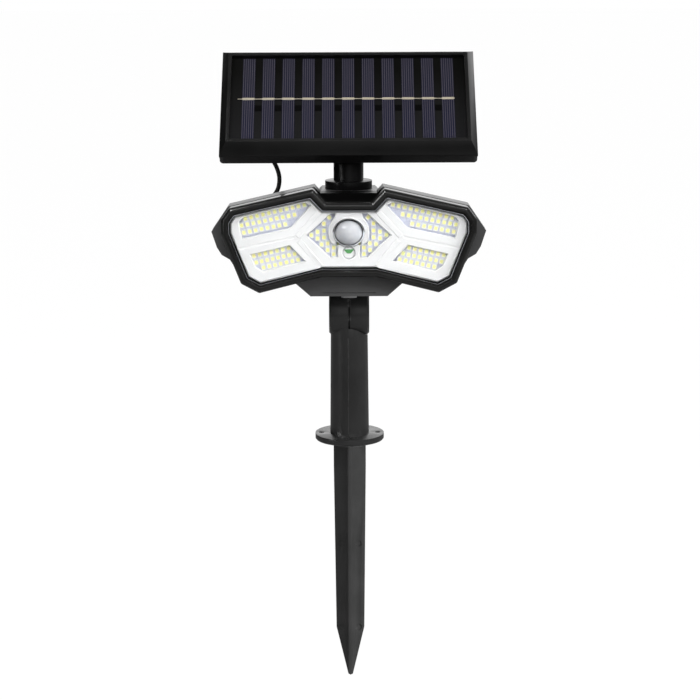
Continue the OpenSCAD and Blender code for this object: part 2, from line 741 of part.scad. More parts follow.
module laminate_seal() {
    color([0.3, 0.3, 0.3]) on_panel() difference() {
        plate(window_w + 2, window_h + 2, laminate_level - 3, laminate_level - 2);
        plate(window_w - 4, window_h - 4, laminate_level - 4, laminate_level);
    }
}

module solar_laminate() {
    color([0.09, 0.09, 0.1]) on_panel()
        plate(window_w + 2, window_h + 2, laminate_level - 2, laminate_level);
}

// Moves a strip's children to each cell's place across the panel
module each_strip() {
    for (i = [0:cell_count - 1]) translate([(i - (cell_count - 1) / 2) * cell_pitch, 0, 0])
        children();
}

module solar_cells() {
    color([0.15, 0.14, 0.3]) on_panel() each_strip()
        plate(strip_w, window_h - 1.2, laminate_level, laminate_level + 0.2);
}

module cell_ribbons() {
    wire_w = cell_pitch * cell_count - 3;
    color([0.75, 0.72, 0.62]) on_panel() {
        each_strip() plate(strip_w, 1.5, laminate_level + 0.2, laminate_level + 0.35);
        plate(wire_w, 0.5, laminate_level + 0.2, laminate_level + 0.3);
    }
}

module panel_gland() {
    taper_h = 6;
    tip = back_level - gland_flange[1] - taper_h;
    color([0.1, 0.1, 0.1]) on_panel() translate([gland_at[0], gland_at[1], 0]) {
        translate([0, 0, tip]) cylinder(r1 = gland_taper_r[0], r2 = gland_taper_r[1], h = taper_h + eps);
        translate([0, 0, tip + taper_h]) cylinder(r = gland_flange[0], h = gland_flange[1]);
        translate([0, 0, back_level - 0.1]) cylinder(r = gland_plug_r, h = 3.2);
    }
}

// ---- Cable ----
function along(route, i) = unit(route[min(i + 1, len(route) - 1)] - route[max(i - 1, 0)]);

// A tube swept along a route, one ring of eight points at each route point
module cord(route, d, ends) {
    sides = 8;
    n = len(route);
    rings = [for (i = [0:n - 1])
        let (t = i == 0 ? ends[0] : i == n - 1 ? ends[1] : along(route, i),
            a = unit(cross(t, [0.3, 1, 0.2])), b = cross(t, a))
        [for (k = [0:sides - 1]) route[i] + d / 2 * (cos(k * 45) * a + sin(k * 45) * b)]];
    polyhedron(
        points = [for (r = rings) each r],
        faces = concat([[for (k = [0:sides - 1]) k]],
            [[for (k = [sides - 1:-1:0]) (n - 1) * sides + k]],
            [for (i = [0:n - 2], k = [0:sides - 1])
                [i * sides + k, (i + 1) * sides + k, (i + 1) * sides + (k + 1) % sides,
                    i * sides + (k + 1) % sides]]));
}

joint_dir = unit(route_upper[1] - route_lower[len(route_lower) - 2]);

module cable_lower() {
    color([0.07, 0.07, 0.07]) cord(route_lower, cable_d, [[-1, 0, 0], joint_dir]);
}

module cable_upper() {
    color([0.07, 0.07, 0.07])
        cord(route_upper, cable_d, [joint_dir, [0, -cos(panel_lean), sin(panel_lean)]]);
}

ground_spike();
mounting_tube();
tilt_bolt();
tilt_nut();
friction_disc();
head_bracket();
bracket_screws();
rear_housing();
housing_seal();
housing_screws();
front_bezel();
lens_cover();
reflector();
led_board();
leds_upper_left();
leds_upper_right();
leds_lower_left();
leds_lower_right();
leds_centre();
board_screws();
pir_sensor();
pir_dome();
pir_collar();
light_sensor();
control_board();
mode_switch();
switch_plunger();
mode_button();
battery_cradle();
battery_cell();
head_gland();
swivel_post();
swivel_screw();
swivel_washer();
pivot_bolt();
pivot_nut();
panel_frame();
panel_back_cover();
panel_screws();
laminate_seal();
solar_laminate();
solar_cells();
cell_ribbons();
panel_gland();
cable_lower();
cable_upper();
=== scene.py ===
"""Looks of a solar garden light: finer meshes, materials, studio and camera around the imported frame."""

import json
import math

import bmesh
import bpy
from mathutils import Matrix, Vector, geometry


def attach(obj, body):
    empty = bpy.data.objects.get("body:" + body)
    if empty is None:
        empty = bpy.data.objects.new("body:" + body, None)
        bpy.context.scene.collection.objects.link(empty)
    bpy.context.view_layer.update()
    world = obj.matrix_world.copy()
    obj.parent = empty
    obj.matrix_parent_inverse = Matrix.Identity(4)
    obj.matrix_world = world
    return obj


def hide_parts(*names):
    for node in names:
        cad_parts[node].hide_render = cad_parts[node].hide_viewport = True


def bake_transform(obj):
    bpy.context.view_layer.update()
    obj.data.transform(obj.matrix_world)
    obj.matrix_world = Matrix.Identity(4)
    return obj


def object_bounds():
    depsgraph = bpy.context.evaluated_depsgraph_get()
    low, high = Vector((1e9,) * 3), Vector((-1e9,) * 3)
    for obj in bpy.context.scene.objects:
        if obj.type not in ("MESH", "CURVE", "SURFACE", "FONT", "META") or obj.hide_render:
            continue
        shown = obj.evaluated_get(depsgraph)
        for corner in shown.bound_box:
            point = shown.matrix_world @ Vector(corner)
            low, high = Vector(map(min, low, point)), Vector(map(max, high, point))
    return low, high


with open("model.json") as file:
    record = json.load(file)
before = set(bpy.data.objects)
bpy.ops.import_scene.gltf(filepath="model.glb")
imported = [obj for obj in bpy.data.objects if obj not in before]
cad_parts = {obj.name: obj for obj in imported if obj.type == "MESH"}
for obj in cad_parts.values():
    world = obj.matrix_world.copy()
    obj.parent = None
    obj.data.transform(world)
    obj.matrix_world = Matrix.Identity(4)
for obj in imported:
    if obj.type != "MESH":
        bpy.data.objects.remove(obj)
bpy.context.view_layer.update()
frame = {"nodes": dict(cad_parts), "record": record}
scene = bpy.context.scene
nodes = frame["nodes"]
MM = 0.001


# ---- Camera and cords ----
CAMERA_PLACE = (0, -1.0768, 0.2776)
CAMERA_TILT, CAMERA_ROLL = math.radians(78.2), math.radians(-0.25)
CAMERA_LENS, CAMERA_FILM = 97.56, 36  # millimetres
CAMERA_SHIFT = 0.001


def make_camera():
    data = bpy.data.cameras.new("camera")
    data.sensor_width = CAMERA_FILM
    data.lens = CAMERA_LENS
    data.clip_start, data.clip_end = 0.05, 50
    cam = bpy.data.objects.new("camera", data)
    cam.location = CAMERA_PLACE
    turn = Matrix.Rotation(CAMERA_TILT, 4, "X") @ Matrix.Rotation(CAMERA_ROLL, 4, "Z")
    cam.rotation_euler = turn.to_euler()
    data.shift_x = CAMERA_SHIFT
    scene.collection.objects.link(cam)
    scene.camera = cam


def piece_from(bm, name, body=None, smooth=True):
    """A new object from a bmesh, riding on a body if one is named."""
    bmesh.ops.recalc_face_normals(bm, faces=bm.faces)
    mesh = bpy.data.meshes.new(name)
    bm.to_mesh(mesh)
    bm.free()
    if smooth:
        mesh.polygons.foreach_set("use_smooth", [True] * len(mesh.polygons))
    piece = bpy.data.objects.new(name, mesh)
    scene.collection.objects.link(piece)
    if body:
        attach(piece, body)
    return piece


def bridge(bm, *rings):
    """Quads from each closed ring of vertices to the next, in one list per pair of rings."""
    made = []
    for r0, r1 in zip(rings, rings[1:]):
        turns = [(k, (k + 1) % len(r0)) for k in range(len(r0))]
        made.append([bm.faces.new((r0[k], r0[n], r1[n], r1[k])) for k, n in turns])
    return made


def capped(bm, rings):
    """A closed solid through rings of vertices; returns its faces."""
    sides = [face for band in bridge(bm, *rings) for face in band]
    return sides + [bm.faces.new(rings[0]), bm.faces.new(rings[-1])]


def spline(points, steps, start_dir, end_dir):
    """A smooth line through the points, steps per stretch, leaving and arriving along two directions."""
    p = [Vector(q) for q in points]
    n = len(p)
    tangents = []
    for i in range(n):
        if i == 0:
            tangents.append(Vector(start_dir).normalized() * (p[1] - p[0]).length)
        elif i == n - 1:
            tangents.append(Vector(end_dir).normalized() * (p[-1] - p[-2]).length)
        else:
            tangents.append((p[i + 1] - p[i - 1]) / 2)
    line = []
    for i in range(n - 1):
        for k in range(steps):
            t = k / steps
            h = (2 * t**3 - 3 * t**2 + 1, t**3 - 2 * t**2 + t, 3 * t**2 - 2 * t**3, t**3 - t**2)
            line.append(h[0] * p[i] + h[1] * tangents[i] + h[2] * p[i + 1] + h[3] * tangents[i + 1])
    line.append(p[-1])
    return line


CABLE_D = 2.5
CABLE_SIDES, CABLE_STEPS = 20, 5


def tube(name, line, radius, start_dir, end_dir):
    """A closed round tube along a line of points, with its end rings square to the two directions."""
    bm = bmesh.new()
    rings = []
    turns = [2 * math.pi * k / CABLE_SIDES for k in range(CABLE_SIDES)]
    side = Vector((0.3, 1, 0.2))  # any direction that no stretch of the line runs along
    for i, q in enumerate(line):
        if i == 0:
            t = Vector(start_dir)
        elif i == len(line) - 1:
            t = Vector(end_dir)
        else:
            t = line[i + 1] - line[i - 1]
        t = t.normalized()
        a = (side - t * side.dot(t)).normalized()
        side = a
        b = t.cross(a)
        rings.append([bm.verts.new(q + radius * (math.cos(turn) * a + math.sin(turn) * b)) for turn in turns])
    capped(bm, rings)
    return piece_from(bm, name)


LOWER_ROUTE = [
    (-44, 3, 112), (-47.5, 3, 112), (-51.5, 3.1, 112.6), (-54.6, 3.6, 115.4), (-55.8, 4.5, 120.3),
    (-54.6, 5.4, 126), (-51.8, 6.4, 131.5), (-48, 7.4, 136.5), (-43.8, 8.4, 140.8), (-40.9, 9.2, 144.8),
    (-39.8, 9.7, 149), (-39.9, 10, 153.3), (-41.2, 10.2, 157.7),
]
UPPER_ROUTE = [
    (-41.2, 10.2, 157.7), (-42.9, 12, 161), (-43.5, 14, 164.6), (-43.8, 16, 168.6), (-43.9, 17.8, 172.8),
    (-44, 19.2, 176.8), (-44, 19.8, 180.2), (-44, 18.7, 183.1), (-44, 16.67, 185.02),
]
JOINT_DIR = Vector(UPPER_ROUTE[1]) - Vector(LOWER_ROUTE[-2])
PANEL_LEAN = math.radians(43.3)
GLAND_DIR = (0, -math.cos(PANEL_LEAN), math.sin(PANEL_LEAN))


def make_cables():
    """The two stretches of the cable, each a round tube along a smooth line through its route; each is listed
    with two bodies and two heights in metres.
    """
    for node, route, first, last, bodies, start, end in (
        ("cable_lower", LOWER_ROUTE, (-1, 0, 0), JOINT_DIR, ("lamp_head", "post"), 0.146, 0.158),
        ("cable_upper", UPPER_ROUTE, JOINT_DIR, GLAND_DIR, ("post", "panel"), 0.158, 0.183),
    ):
        line = [q * MM for q in spline(route, CABLE_STEPS, first, last)]
        cable = tube(node + "_tube", line, CABLE_D / 2 * MM, first, last)
        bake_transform(cable)
        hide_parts(node)
        finish(cable, "cable_jacket")


# ---- Materials ----
class Look:
    """A material with one Principled shader, and helpers that add nodes to it."""

    def __init__(self, name, **sockets):
        self.material = bpy.data.materials.new(name)
        self.material.use_nodes = True
        self.tree = self.material.node_tree
        self.tree.nodes.clear()
        self.out = self.tree.nodes.new("ShaderNodeOutputMaterial")
        self.shader = self.tree.nodes.new("ShaderNodeBsdfPrincipled")
        self.tree.links.new(self.shader.outputs["BSDF"], self.out.inputs["Surface"])
        self.where = self.tree.nodes.new("ShaderNodeTexCoord").outputs["Object"]
        for key, value in sockets.items():
            self.shader.inputs[key.replace("_", " ")].default_value = value

    def link(self, a, b):
        self.tree.links.new(a, b)

    def node(self, kind, **values):
        made = self.tree.nodes.new("ShaderNode" + kind)
        for key, value in values.items():
            if key in made.inputs:
                if isinstance(value, bpy.types.NodeSocket):
                    self.link(value, made.inputs[key])
                else:
                    made.inputs[key].default_value = value
            else:
                setattr(made, key, value)
        return made

    def stretched(self, scale):
        return self.node("Mapping", Vector=self.where, Scale=scale).outputs["Vector"]

    def noise(self, scale, detail=3.0, vector=None, roughness=0.5):
        made = self.node("TexNoise", Vector=vector or self.where, Scale=scale, Detail=detail)
        made.inputs["Roughness"].default_value = roughness
        return made.outputs["Fac"]

    def ramp(self, fac, *stops):
        made = self.node("ValToRGB", Fac=fac)
        while len(made.color_ramp.elements) < len(stops):
            made.color_ramp.elements.new(0.5)
        for element, (place, colour) in zip(made.color_ramp.elements, stops):
            element.position = place
            element.color = (*colour, 1)
        return made.outputs["Color"]

    def span(self, fac, low, high, from_low=0.25, from_high=0.75):
        made = self.node("MapRange", Value=fac)
        ends = {"From Min": from_low, "From Max": from_high, "To Min": low, "To Max": high}
        for key, value in ends.items():
            made.inputs[key].default_value = value
        return made.outputs["Result"]

    def mix(self, fac, a, b):
        made = self.tree.nodes.new("ShaderNodeMix")
        made.data_type = "RGBA"
        for socket, value in ((made.inputs[0], fac), (made.inputs[6], a), (made.inputs[7], b)):
            if isinstance(value, bpy.types.NodeSocket):
                self.link(value, socket)
            elif isinstance(value, tuple):
                socket.default_value = (*value, 1)
            else:
                socket.default_value = value
        return made.outputs[2]

    def bump(self, height, strength, distance, under=None):
        made = self.node("Bump", Height=height)
        made.inputs["Strength"].default_value = strength
        made.inputs["Distance"].default_value = distance
        if under is not None:
            self.link(under, made.inputs["Normal"])
        return made.outputs["Normal"]

    def use(self, **sockets):
        for key, socket in sockets.items():
            self.link(socket, self.shader.inputs[key.replace("_", " ")])
        return self.material


def shade(colour, factor):
    """The colour made darker or lighter, but no lighter than white."""
    return tuple(min(1.0, c * factor) for c in colour)


GLOSS_DRIFT = 0.06
PATCH_EDGE = 0.0005  # metres that the polished patch takes to fade in, either side of its edge


def moulded(name, colour, rough, grain=0.35, grain_scale=2600, drift=0.25, level=0.5, dark=None):
    """Moulded plastic: spark-eroded grain, a slow drift of tone, and patches a little more or less glossy.

    dark is (half width, height, depth) of a patch painted nearly black and less glossy, as painted
    shade, within the width, above the height and in front of the depth.
    """
    look = Look(name, Specular_IOR_Level=level)
    slow = look.noise(38, 4)
    fine = look.noise(grain_scale, 2, roughness=0.7)
    specks = look.noise(900, 3, roughness=0.8)
    tone = look.ramp(slow, (0.3, shade(colour, 1 - drift)), (0.7, shade(colour, 1 + drift)))
    tone = look.mix(look.span(specks, 0, 0.25, 0.62, 0.8), tone, shade(colour, 2.2))
    if dark:
        half_width, height, depth = dark
        split = look.node("SeparateXYZ", Vector=look.where)
        away = look.node("Math", operation="ABSOLUTE")
        look.link(split.outputs["X"], away.inputs[0])
        across = look.span(away.outputs[0], 1, 0, half_width - PATCH_EDGE, half_width + PATCH_EDGE)
        above = look.span(split.outputs["Z"], 0, 1, height - PATCH_EDGE, height + PATCH_EDGE)
        ahead = look.span(split.outputs["Y"], 1, 0, depth - PATCH_EDGE, depth + PATCH_EDGE)
        corner, both = (look.node("Math", operation="MULTIPLY") for _ in range(2))
        look.link(across, corner.inputs[0])
        look.link(above, corner.inputs[1])
        look.link(corner.outputs[0], both.inputs[0])
        look.link(ahead, both.inputs[1])
        # Painted shade: inside the patch the colour is painted nearly black and the gloss lowered, as if in
        # shade
        tone = look.mix(both.outputs[0], tone, (0.002, 0.002, 0.002))
        look.link(look.span(both.outputs[0], level, 0.08, 0, 1), look.shader.inputs["Specular IOR Level"])
    gloss = look.span(look.noise(55, 5, roughness=0.6), rough - GLOSS_DRIFT, rough + GLOSS_DRIFT)
    coarse = look.bump(look.noise(430, 2), grain * 0.35, 0.00008)
    return look.use(Base_Color=tone, Roughness=gloss, Normal=look.bump(fine, grain, 0.00003, coarse))


def clear_plastic(name):
    """A clear moulded cover that lamps shine through, with faint flow marks in its gloss."""
    look = Look(name, Transmission_Weight=1.0, IOR=1.46, Base_Color=(0.99, 0.99, 0.985, 1))
    look.use(
        Roughness=look.span(look.noise(120, 4), 0.015, 0.05),
        Normal=look.bump(look.noise(45, 2), 0.05, 0.0001),
    )
    through = look.node("BsdfTransparent", Color=(0.96, 0.97, 0.98, 1))
    path = look.node("LightPath")
    both = look.tree.nodes.new("ShaderNodeMixShader")
    look.link(path.outputs["Is Shadow Ray"], both.inputs[0])
    look.link(look.shader.outputs["BSDF"], both.inputs[1])
    look.link(through.outputs["BSDF"], both.inputs[2])
    look.link(both.outputs[0], look.out.inputs["Surface"])
    return look.material


def plated(name, colour, rough=0.32):
    """Zinc or tin plate: a metal with drawn streaks, dull patches and small spangles."""
    look = Look(name, Metallic=1.0)
    patches = look.noise(220, 4, roughness=0.6)
    spangle = look.node("TexVoronoi", Vector=look.where, Scale=900.0).outputs["Distance"]
    tone = look.ramp(patches, (0.3, shade(colour, 0.82)), (0.7, shade(colour, 1.06)))
    tone = look.mix(look.span(spangle, 0, 0.35, 0.1, 0.7), tone, shade(colour, 0.7))
    streaks = look.noise(160, 2, look.stretched((1, 8, 8)))
    return look.use(Base_Color=tone, Roughness=look.span(patches, rough - 0.08, rough + 0.12),
                    Normal=look.bump(streaks, 0.15, 0.00003))


def rubber(name, colour, rough=0.6):
    """Rubber or soft jacket: matt, with a very fine dusty bloom."""
    look = Look(name, Specular_IOR_Level=0.35)
    bloom = look.noise(700, 4, roughness=0.75)
    slow = look.noise(60, 3)
    tone = look.ramp(slow, (0.3, shade(colour, 0.8)), (0.7, shade(colour, 1.2)))
    tone = look.mix(look.span(bloom, 0, 0.3, 0.55, 0.8), tone, shade(colour, 1.9))
    return look.use(Base_Color=tone, Roughness=look.span(slow, rough - 0.08, rough + 0.1),
                    Normal=look.bump(bloom, 0.3, 0.00002))


def white_moulding(name, colour, rough=0.3):
    """Bright white plastic with a faint flow pattern."""
    look = Look(name, Specular_IOR_Level=0.4)
    flow = look.noise(28, 3, look.stretched((1, 1, 2.2)))
    fine = look.noise(1500, 2)
    tone = look.ramp(flow, (0.25, shade(colour, 0.965)), (0.75, shade(colour, 1.02)))
    return look.use(Base_Color=tone, Roughness=look.span(fine, rough - 0.05, rough + 0.08),
                    Normal=look.bump(fine, 0.12, 0.00002))


def board_surface(name, colour, line_colour, width, height, turn):
    """Solder mask with copper areas under it: a faint grid of slightly darker lines."""
    look = Look(name, Specular_IOR_Level=0.5)
    split = look.node("SeparateXYZ", Vector=look.where)
    flat = look.node("CombineXYZ", X=split.outputs["X"], Y=split.outputs["Z"])
    turned = look.node("Mapping", Vector=flat.outputs["Vector"], Rotation=(0, 0, turn))
    brick = look.node("TexBrick", Vector=turned.outputs["Vector"], offset=0.5)
    areas = {"Color1": (*colour, 1), "Color2": (*shade(colour, 1.05), 1), "Mortar": (*line_colour, 1),
             "Scale": 1.0, "Mortar Size": 0.00022, "Brick Width": width, "Row Height": height}
    for key, value in areas.items():
        brick.inputs[key].default_value = value
    mottle = look.noise(500, 3)
    tone = look.mix(look.span(mottle, 0, 0.2), brick.outputs["Color"], shade(colour, 0.86))
    return look.use(Base_Color=tone, Roughness=look.span(mottle, 0.32, 0.45),
                    Normal=look.bump(brick.outputs["Fac"], 0.35, 0.00004))


def phosphor(name):
    """Yellow phosphor resin: grainy, with slow paler patches."""
    look = Look(name, Specular_IOR_Level=0.4, Subsurface_Weight=0.1)
    look.shader.inputs["Subsurface Scale"].default_value = 0.0004
    grains = look.noise(4200, 3, roughness=0.7)
    slow = look.noise(240, 2)
    tone = look.ramp(grains, (0.3, (0.88, 0.84, 0.22)), (0.7, (0.94, 0.92, 0.4)))
    tone = look.mix(look.span(slow, 0, 0.5), tone, (0.94, 0.93, 0.55))
    return look.use(Base_Color=tone, Roughness=look.span(grains, 0.28, 0.5),
                    Normal=look.bump(grains, 0.3, 0.00002))


def dome_plastic(name):
    """Milky polyethylene of a sensor dome: it scatters light, and its inside lenses show as faint cells."""
    look = Look(name, Specular_IOR_Level=0.5, Subsurface_Weight=0.3)
    look.shader.inputs["Subsurface Scale"].default_value = 0.0015
    look.shader.inputs["Subsurface Radius"].default_value = (1.0, 0.9, 0.85)
    cloud = look.noise(160, 3)
    cells = look.node("TexVoronoi", Vector=look.where, Scale=420.0).outputs["Distance"]
    tone = look.ramp(cloud, (0.3, (0.88, 0.9, 0.95)), (0.7, (0.94, 0.96, 1.0)))
    tone = look.mix(look.span(cells, 0.0, 0.22, 0.2, 0.8), tone, (0.62, 0.65, 0.75))
    return look.use(Base_Color=tone, Roughness=look.span(cloud, 0.05, 0.1),
                    Normal=look.bump(cells, 0.08, 0.00006))


FOOT_Z = 0.174  # height of the panel's lower edge


def laminate(name):
    """Dark resin sheet over the cells: fine weave, a soft sheen, and a painted sheen that lightens it towards
    its lower edge.
    """
    look = Look(name, Specular_IOR_Level=0.04, Coat_Weight=0.01, Coat_Roughness=0.2)
    grain = look.noise(2200, 2)
    slow = look.noise(30, 4)
    tone = look.ramp(slow, (0.3, (0.0034, 0.0034, 0.003)), (0.7, (0.0046, 0.0046, 0.0042)))
    tone = look.mix(look.span(grain, 0, 0.35, 0.5, 0.75), tone, (0.008, 0.008, 0.007))
    split = look.node("SeparateXYZ", Vector=look.where)
    # Painted sheen: the sheet is painted lighter towards its lower edge, standing for a reflection
    painted_sheen = look.span(split.outputs["Z"], 0.6, 0, FOOT_Z + 0.002, FOOT_Z + 0.038)
    tone = look.mix(painted_sheen, tone, (0.024, 0.024, 0.026))
    return look.use(Base_Color=tone, Roughness=look.span(slow, 0.42, 0.55),
                    Normal=look.bump(grain, 0.3, 0.00002))


def silicon(name):
    """Cell silicon with a violet coating that turns bluer towards the strip's lower end."""
    look = Look(name, Specular_IOR_Level=0.2, Coat_Weight=0.12, Coat_Roughness=0.2)
    split = look.node("SeparateXYZ", Vector=look.where)
    crystal = look.noise(900, 5, look.stretched((3, 1, 1)), 0.7)
    slow = look.noise(26, 3)
    height = look.span(split.outputs["Z"], 0, 1, FOOT_Z - 0.002, FOOT_Z + 0.041)
    tone = look.mix(height, (0.005, 0.005, 0.028), (0.0105, 0.0095, 0.02))
    tone = look.mix(look.span(crystal, 0, 0.45), tone, (0.022, 0.02, 0.05))
    tone = look.mix(look.span(slow, 0, 0.3), tone, (0.006, 0.007, 0.022))
    return look.use(Base_Color=tone, Roughness=look.span(crystal, 0.28, 0.48),
                    Normal=look.bump(crystal, 0.15, 0.00002))


def printed(name, colour, rough):
    """Silver paste or tinned strip under the laminate: porous and a little uneven."""
    look = Look(name, Specular_IOR_Level=0.3)
    pores = look.noise(2600, 4, roughness=0.7)
    tone = look.ramp(pores, (0.3, shade(colour, 0.72)), (0.7, shade(colour, 1.18)))
    return look.use(Base_Color=tone, Roughness=look.span(pores, rough - 0.08, rough + 0.1),
                    Normal=look.bump(pores, 0.3, 0.00002))


def cell_wrap(name):
    """Heat-shrink sleeve: thin film with long wrinkles."""
    look = Look(name, Specular_IOR_Level=0.5, Coat_Weight=0.3, Coat_Roughness=0.2)
    wrinkle = look.noise(90, 3, look.stretched((0.25, 1.6, 1.6)))
    tone = look.ramp(wrinkle, (0.3, (0.05, 0.2, 0.5)), (0.7, (0.075, 0.27, 0.62)))
    return look.use(Base_Color=tone, Roughness=look.span(wrinkle, 0.22, 0.36),
                    Normal=look.bump(wrinkle, 0.35, 0.00015))


LIT_CENTRE, LIT_REACH, LIT_END = (0, 0.9, 0), 1.4, 2.0  # the lit part of the floor, behind the lamp
LIT_GREY, DIM_GREY = 0.2, 0.03
GLOW = 0.9  # share of plain white in what the camera sees


def floor_surface(name):
    """Pale paper, near white to the camera. Other rays meet a grey, lighter near the lamp and behind it."""
    look = Look(name, Specular_IOR_Level=0.2)
    paper = look.noise(7, 4)
    tone = look.ramp(paper, (0.3, (0.87, 0.87, 0.87)), (0.7, (0.885, 0.885, 0.885)))
    look.use(Base_Color=tone, Roughness=look.span(paper, 0.75, 0.85))
    reach = look.node("VectorMath", operation="DISTANCE")
    look.link(look.where, reach.inputs[0])
    reach.inputs[1].default_value = LIT_CENTRE
    grey = look.span(reach.outputs["Value"], LIT_GREY, DIM_GREY, LIT_REACH, LIT_END)
    dim = look.node("BsdfDiffuse", Color=look.node("CombineXYZ", X=grey, Y=grey, Z=grey).outputs["Vector"])
    lit = look.node("Emission", Color=(1, 1, 1, 1), Strength=1.0)
    seen, both = (look.tree.nodes.new("ShaderNodeMixShader") for _ in range(2))
    seen.inputs[0].default_value = GLOW
    look.link(look.shader.outputs["BSDF"], seen.inputs[1])
    look.link(lit.outputs[0], seen.inputs[2])
    path = look.node("LightPath")
    look.link(path.outputs["Is Camera Ray"], both.inputs[0])
    look.link(dim.outputs["BSDF"], both.inputs[1])
    look.link(seen.outputs[0], both.inputs[2])
    look.link(both.outputs[0], look.out.inputs["Surface"])
    return look.material


WING_TURN = math.radians(13)  # the rows of LEDs in the lamp's wings run up at this angle
LOOKS = {
    "body_plastic": moulded("body_plastic_moulded", (0.005, 0.005, 0.0052), 0.27),
    "bezel_plastic": moulded("bezel_plastic_moulded", (0.017, 0.017, 0.0165), 0.18, grain=0.15),
    "spike_plastic": moulded("spike_plastic_moulded", (0.03,) * 3, 0.22, grain=0.6, grain_scale=1900),
    "panel_plastic": moulded("panel_plastic_moulded", (0.0045,) * 3, 0.32, grain=0.3, grain_scale=2000),
    "white_plastic": white_moulding("white_plastic_moulded", (0.78, 0.78, 0.782)),
    "clear_lens": clear_plastic("clear_lens_plastic"),
    "dome_plastic": dome_plastic("dome_plastic_milky"),
    "grey_rubber": rubber("grey_rubber_matt", (0.36, 0.36, 0.365), 0.5),
    "seal_rubber": rubber("seal_rubber_matt", (0.05, 0.05, 0.052)),
    "black_rubber": rubber("black_rubber_matt", (0.013, 0.013, 0.013)),
    "cable_jacket": rubber("cable_jacket_satin", (0.01, 0.01, 0.01), 0.42),
    "zinc": plated("zinc_plate", (0.62, 0.63, 0.64)),
    "tinned": printed("tinned_ribbon", (0.6, 0.54, 0.42), 0.4),
    "white_board": board_surface("white_board_mask", (0.7, 0.72, 0.84), (0.58, 0.6, 0.74), 0.0034, 0.0039,
                                 -WING_TURN),
    "green_board": board_surface("green_board_mask", (0.03, 0.2, 0.07), (0.02, 0.12, 0.05), 0.004, 0.003, 0),
    "led_phosphor": phosphor("led_phosphor_resin"),
    "sensor_can": plated("sensor_can_metal", (0.6, 0.58, 0.52), 0.28),
    "cell_wrap": cell_wrap("cell_wrap_sleeve"),
    "laminate": laminate("laminate_sheet"),
    "silicon": silicon("silicon_cell"),
}
LED_BODY = white_moulding("led_body_white", (0.78, 0.79, 0.83), 0.4)
POST = moulded("post_plastic_moulded", (0.004, 0.004, 0.0041), 0.3, level=0.16, drift=0.3)
# The parting line is a real bead; its lighter colour is a painted highlight along it
SEAM = moulded("parting_line_painted_highlight", (0.05,) * 3, 0.3)
# The housing's dark patch is painted shade on the notch's front wall under the swivel post
HOUSING = moulded("housing_plastic_moulded", (0.085, 0.085, 0.086), 0.4, drift=0.12,
                  dark=(0.0185, 0.139, -0.014))
TUBE = moulded("tube_plastic_moulded", (0.026,) * 3, 0.34, grain=0.4, grain_scale=2200)
# Frosted lens edge; its pale colour is also a painted glint along the lens's edge
LENS_EDGE_GLINT = white_moulding("lens_edge_frosted_glint", (0.55, 0.56, 0.6), 0.25)
GAP_PAD = moulded("gap_pad_black", (0.0012,) * 3, 0.6, level=0.04)
# Dark for the dome's collar, and painted shade for the arc at the lens cover's hole
DARK_LINE = rubber("collar_dark_and_shadow_line", (0.07, 0.072, 0.08), 0.4)
FINGERS = printed("silver_finger", (0.082, 0.078, 0.105), 0.5)
GREEN_TAB = board_surface("green_tab_mask", (0.12, 0.4, 0.14), (0.09, 0.3, 0.1), 0.001, 0.0008, 0)


def finish(piece, *looks):
    """Gives a piece its materials, by slot name or as they are."""
    mats = [LOOKS[x] if isinstance(x, str) else x for x in looks]
    if not piece.material_slots:
        for m in mats:
            piece.data.materials.append(m)
    for place, m in zip(piece.material_slots, mats):
        place.material = m


BEVEL_STEPS, BEVEL_ANGLE = 2, math.radians(30)
SPLIT_ANGLE = 50
FLAT_SIDED = {"panel_back_cover": 12, "rear_housing": 14, "panel_frame": 20, "ground_spike": 25}


def split_edges(piece, degrees):
    """Shades a piece flat across edges sharper than an angle."""
    split = piece.modifiers.new("split", "EDGE_SPLIT")
    split.split_angle = math.radians(degrees)


def soften(piece, width):
    """Rounds sharp edges by a small radius in millimetres, as a mould leaves them."""
    mesh = piece.data
    for name in ("custom_normal", "sharp_edge", "sharp_face"):
        if name in mesh.attributes:
            mesh.attributes.remove(mesh.attributes[name])
    mesh.polygons.foreach_set("use_smooth", [True] * len(mesh.polygons))
    if width:
        weld = piece.modifiers.new("weld", "WELD")
        weld.merge_threshold = 1e-6
        bevel = piece.modifiers.new("bevel", "BEVEL")
        bevel.width = width * MM
        bevel.segments = BEVEL_STEPS
        bevel.limit_method = "ANGLE"
        bevel.angle_limit = BEVEL_ANGLE
        bevel.miter_outer = "MITER_ARC"
    split_edges(piece, FLAT_SIDED.get(piece.name, SPLIT_ANGLE))


OWN_LOOKS = {"mounting_tube": TUBE, "head_bracket": TUBE, "rear_housing": HOUSING, "swivel_post": POST}


def dress_cad():
    """Materials for every carried-over CAD node, and small edge radii."""
    radii = {
        "ground_spike": 0.25, "mounting_tube": 0.3, "head_bracket": 0.3, "rear_housing": 0.18,
        "mode_button": 0.5, "swivel_post": 0.35, "panel_frame": 0.35, "panel_back_cover": 0.3,
        "tilt_bolt": 0.3, "tilt_nut": 0.3, "pivot_bolt": 0.2, "pivot_nut": 0.2,
        "panel_screws": 0.2, "housing_screws": 0.15, "bracket_screws": 0.2,
        "head_gland": 0.25, "panel_gland": 0.25,
        "battery_cell": 0.4, "battery_cradle": 0.3, "control_board": 0.1,
    }
    for part in frame["record"]["subparts"]:
        piece = nodes[part["node"]]
        finish(piece, OWN_LOOKS.get(part["node"], part["material_slot"]))
        if not piece.hide_render:
            soften(piece, radii.get(part["node"], 0))


# ---- Lamp head ----
def whole(half):
    """Both halves of an outline that is the same left and right."""
    return [Vector(p) for p in half] + [Vector((-p[0], p[1])) for p in reversed(half)]


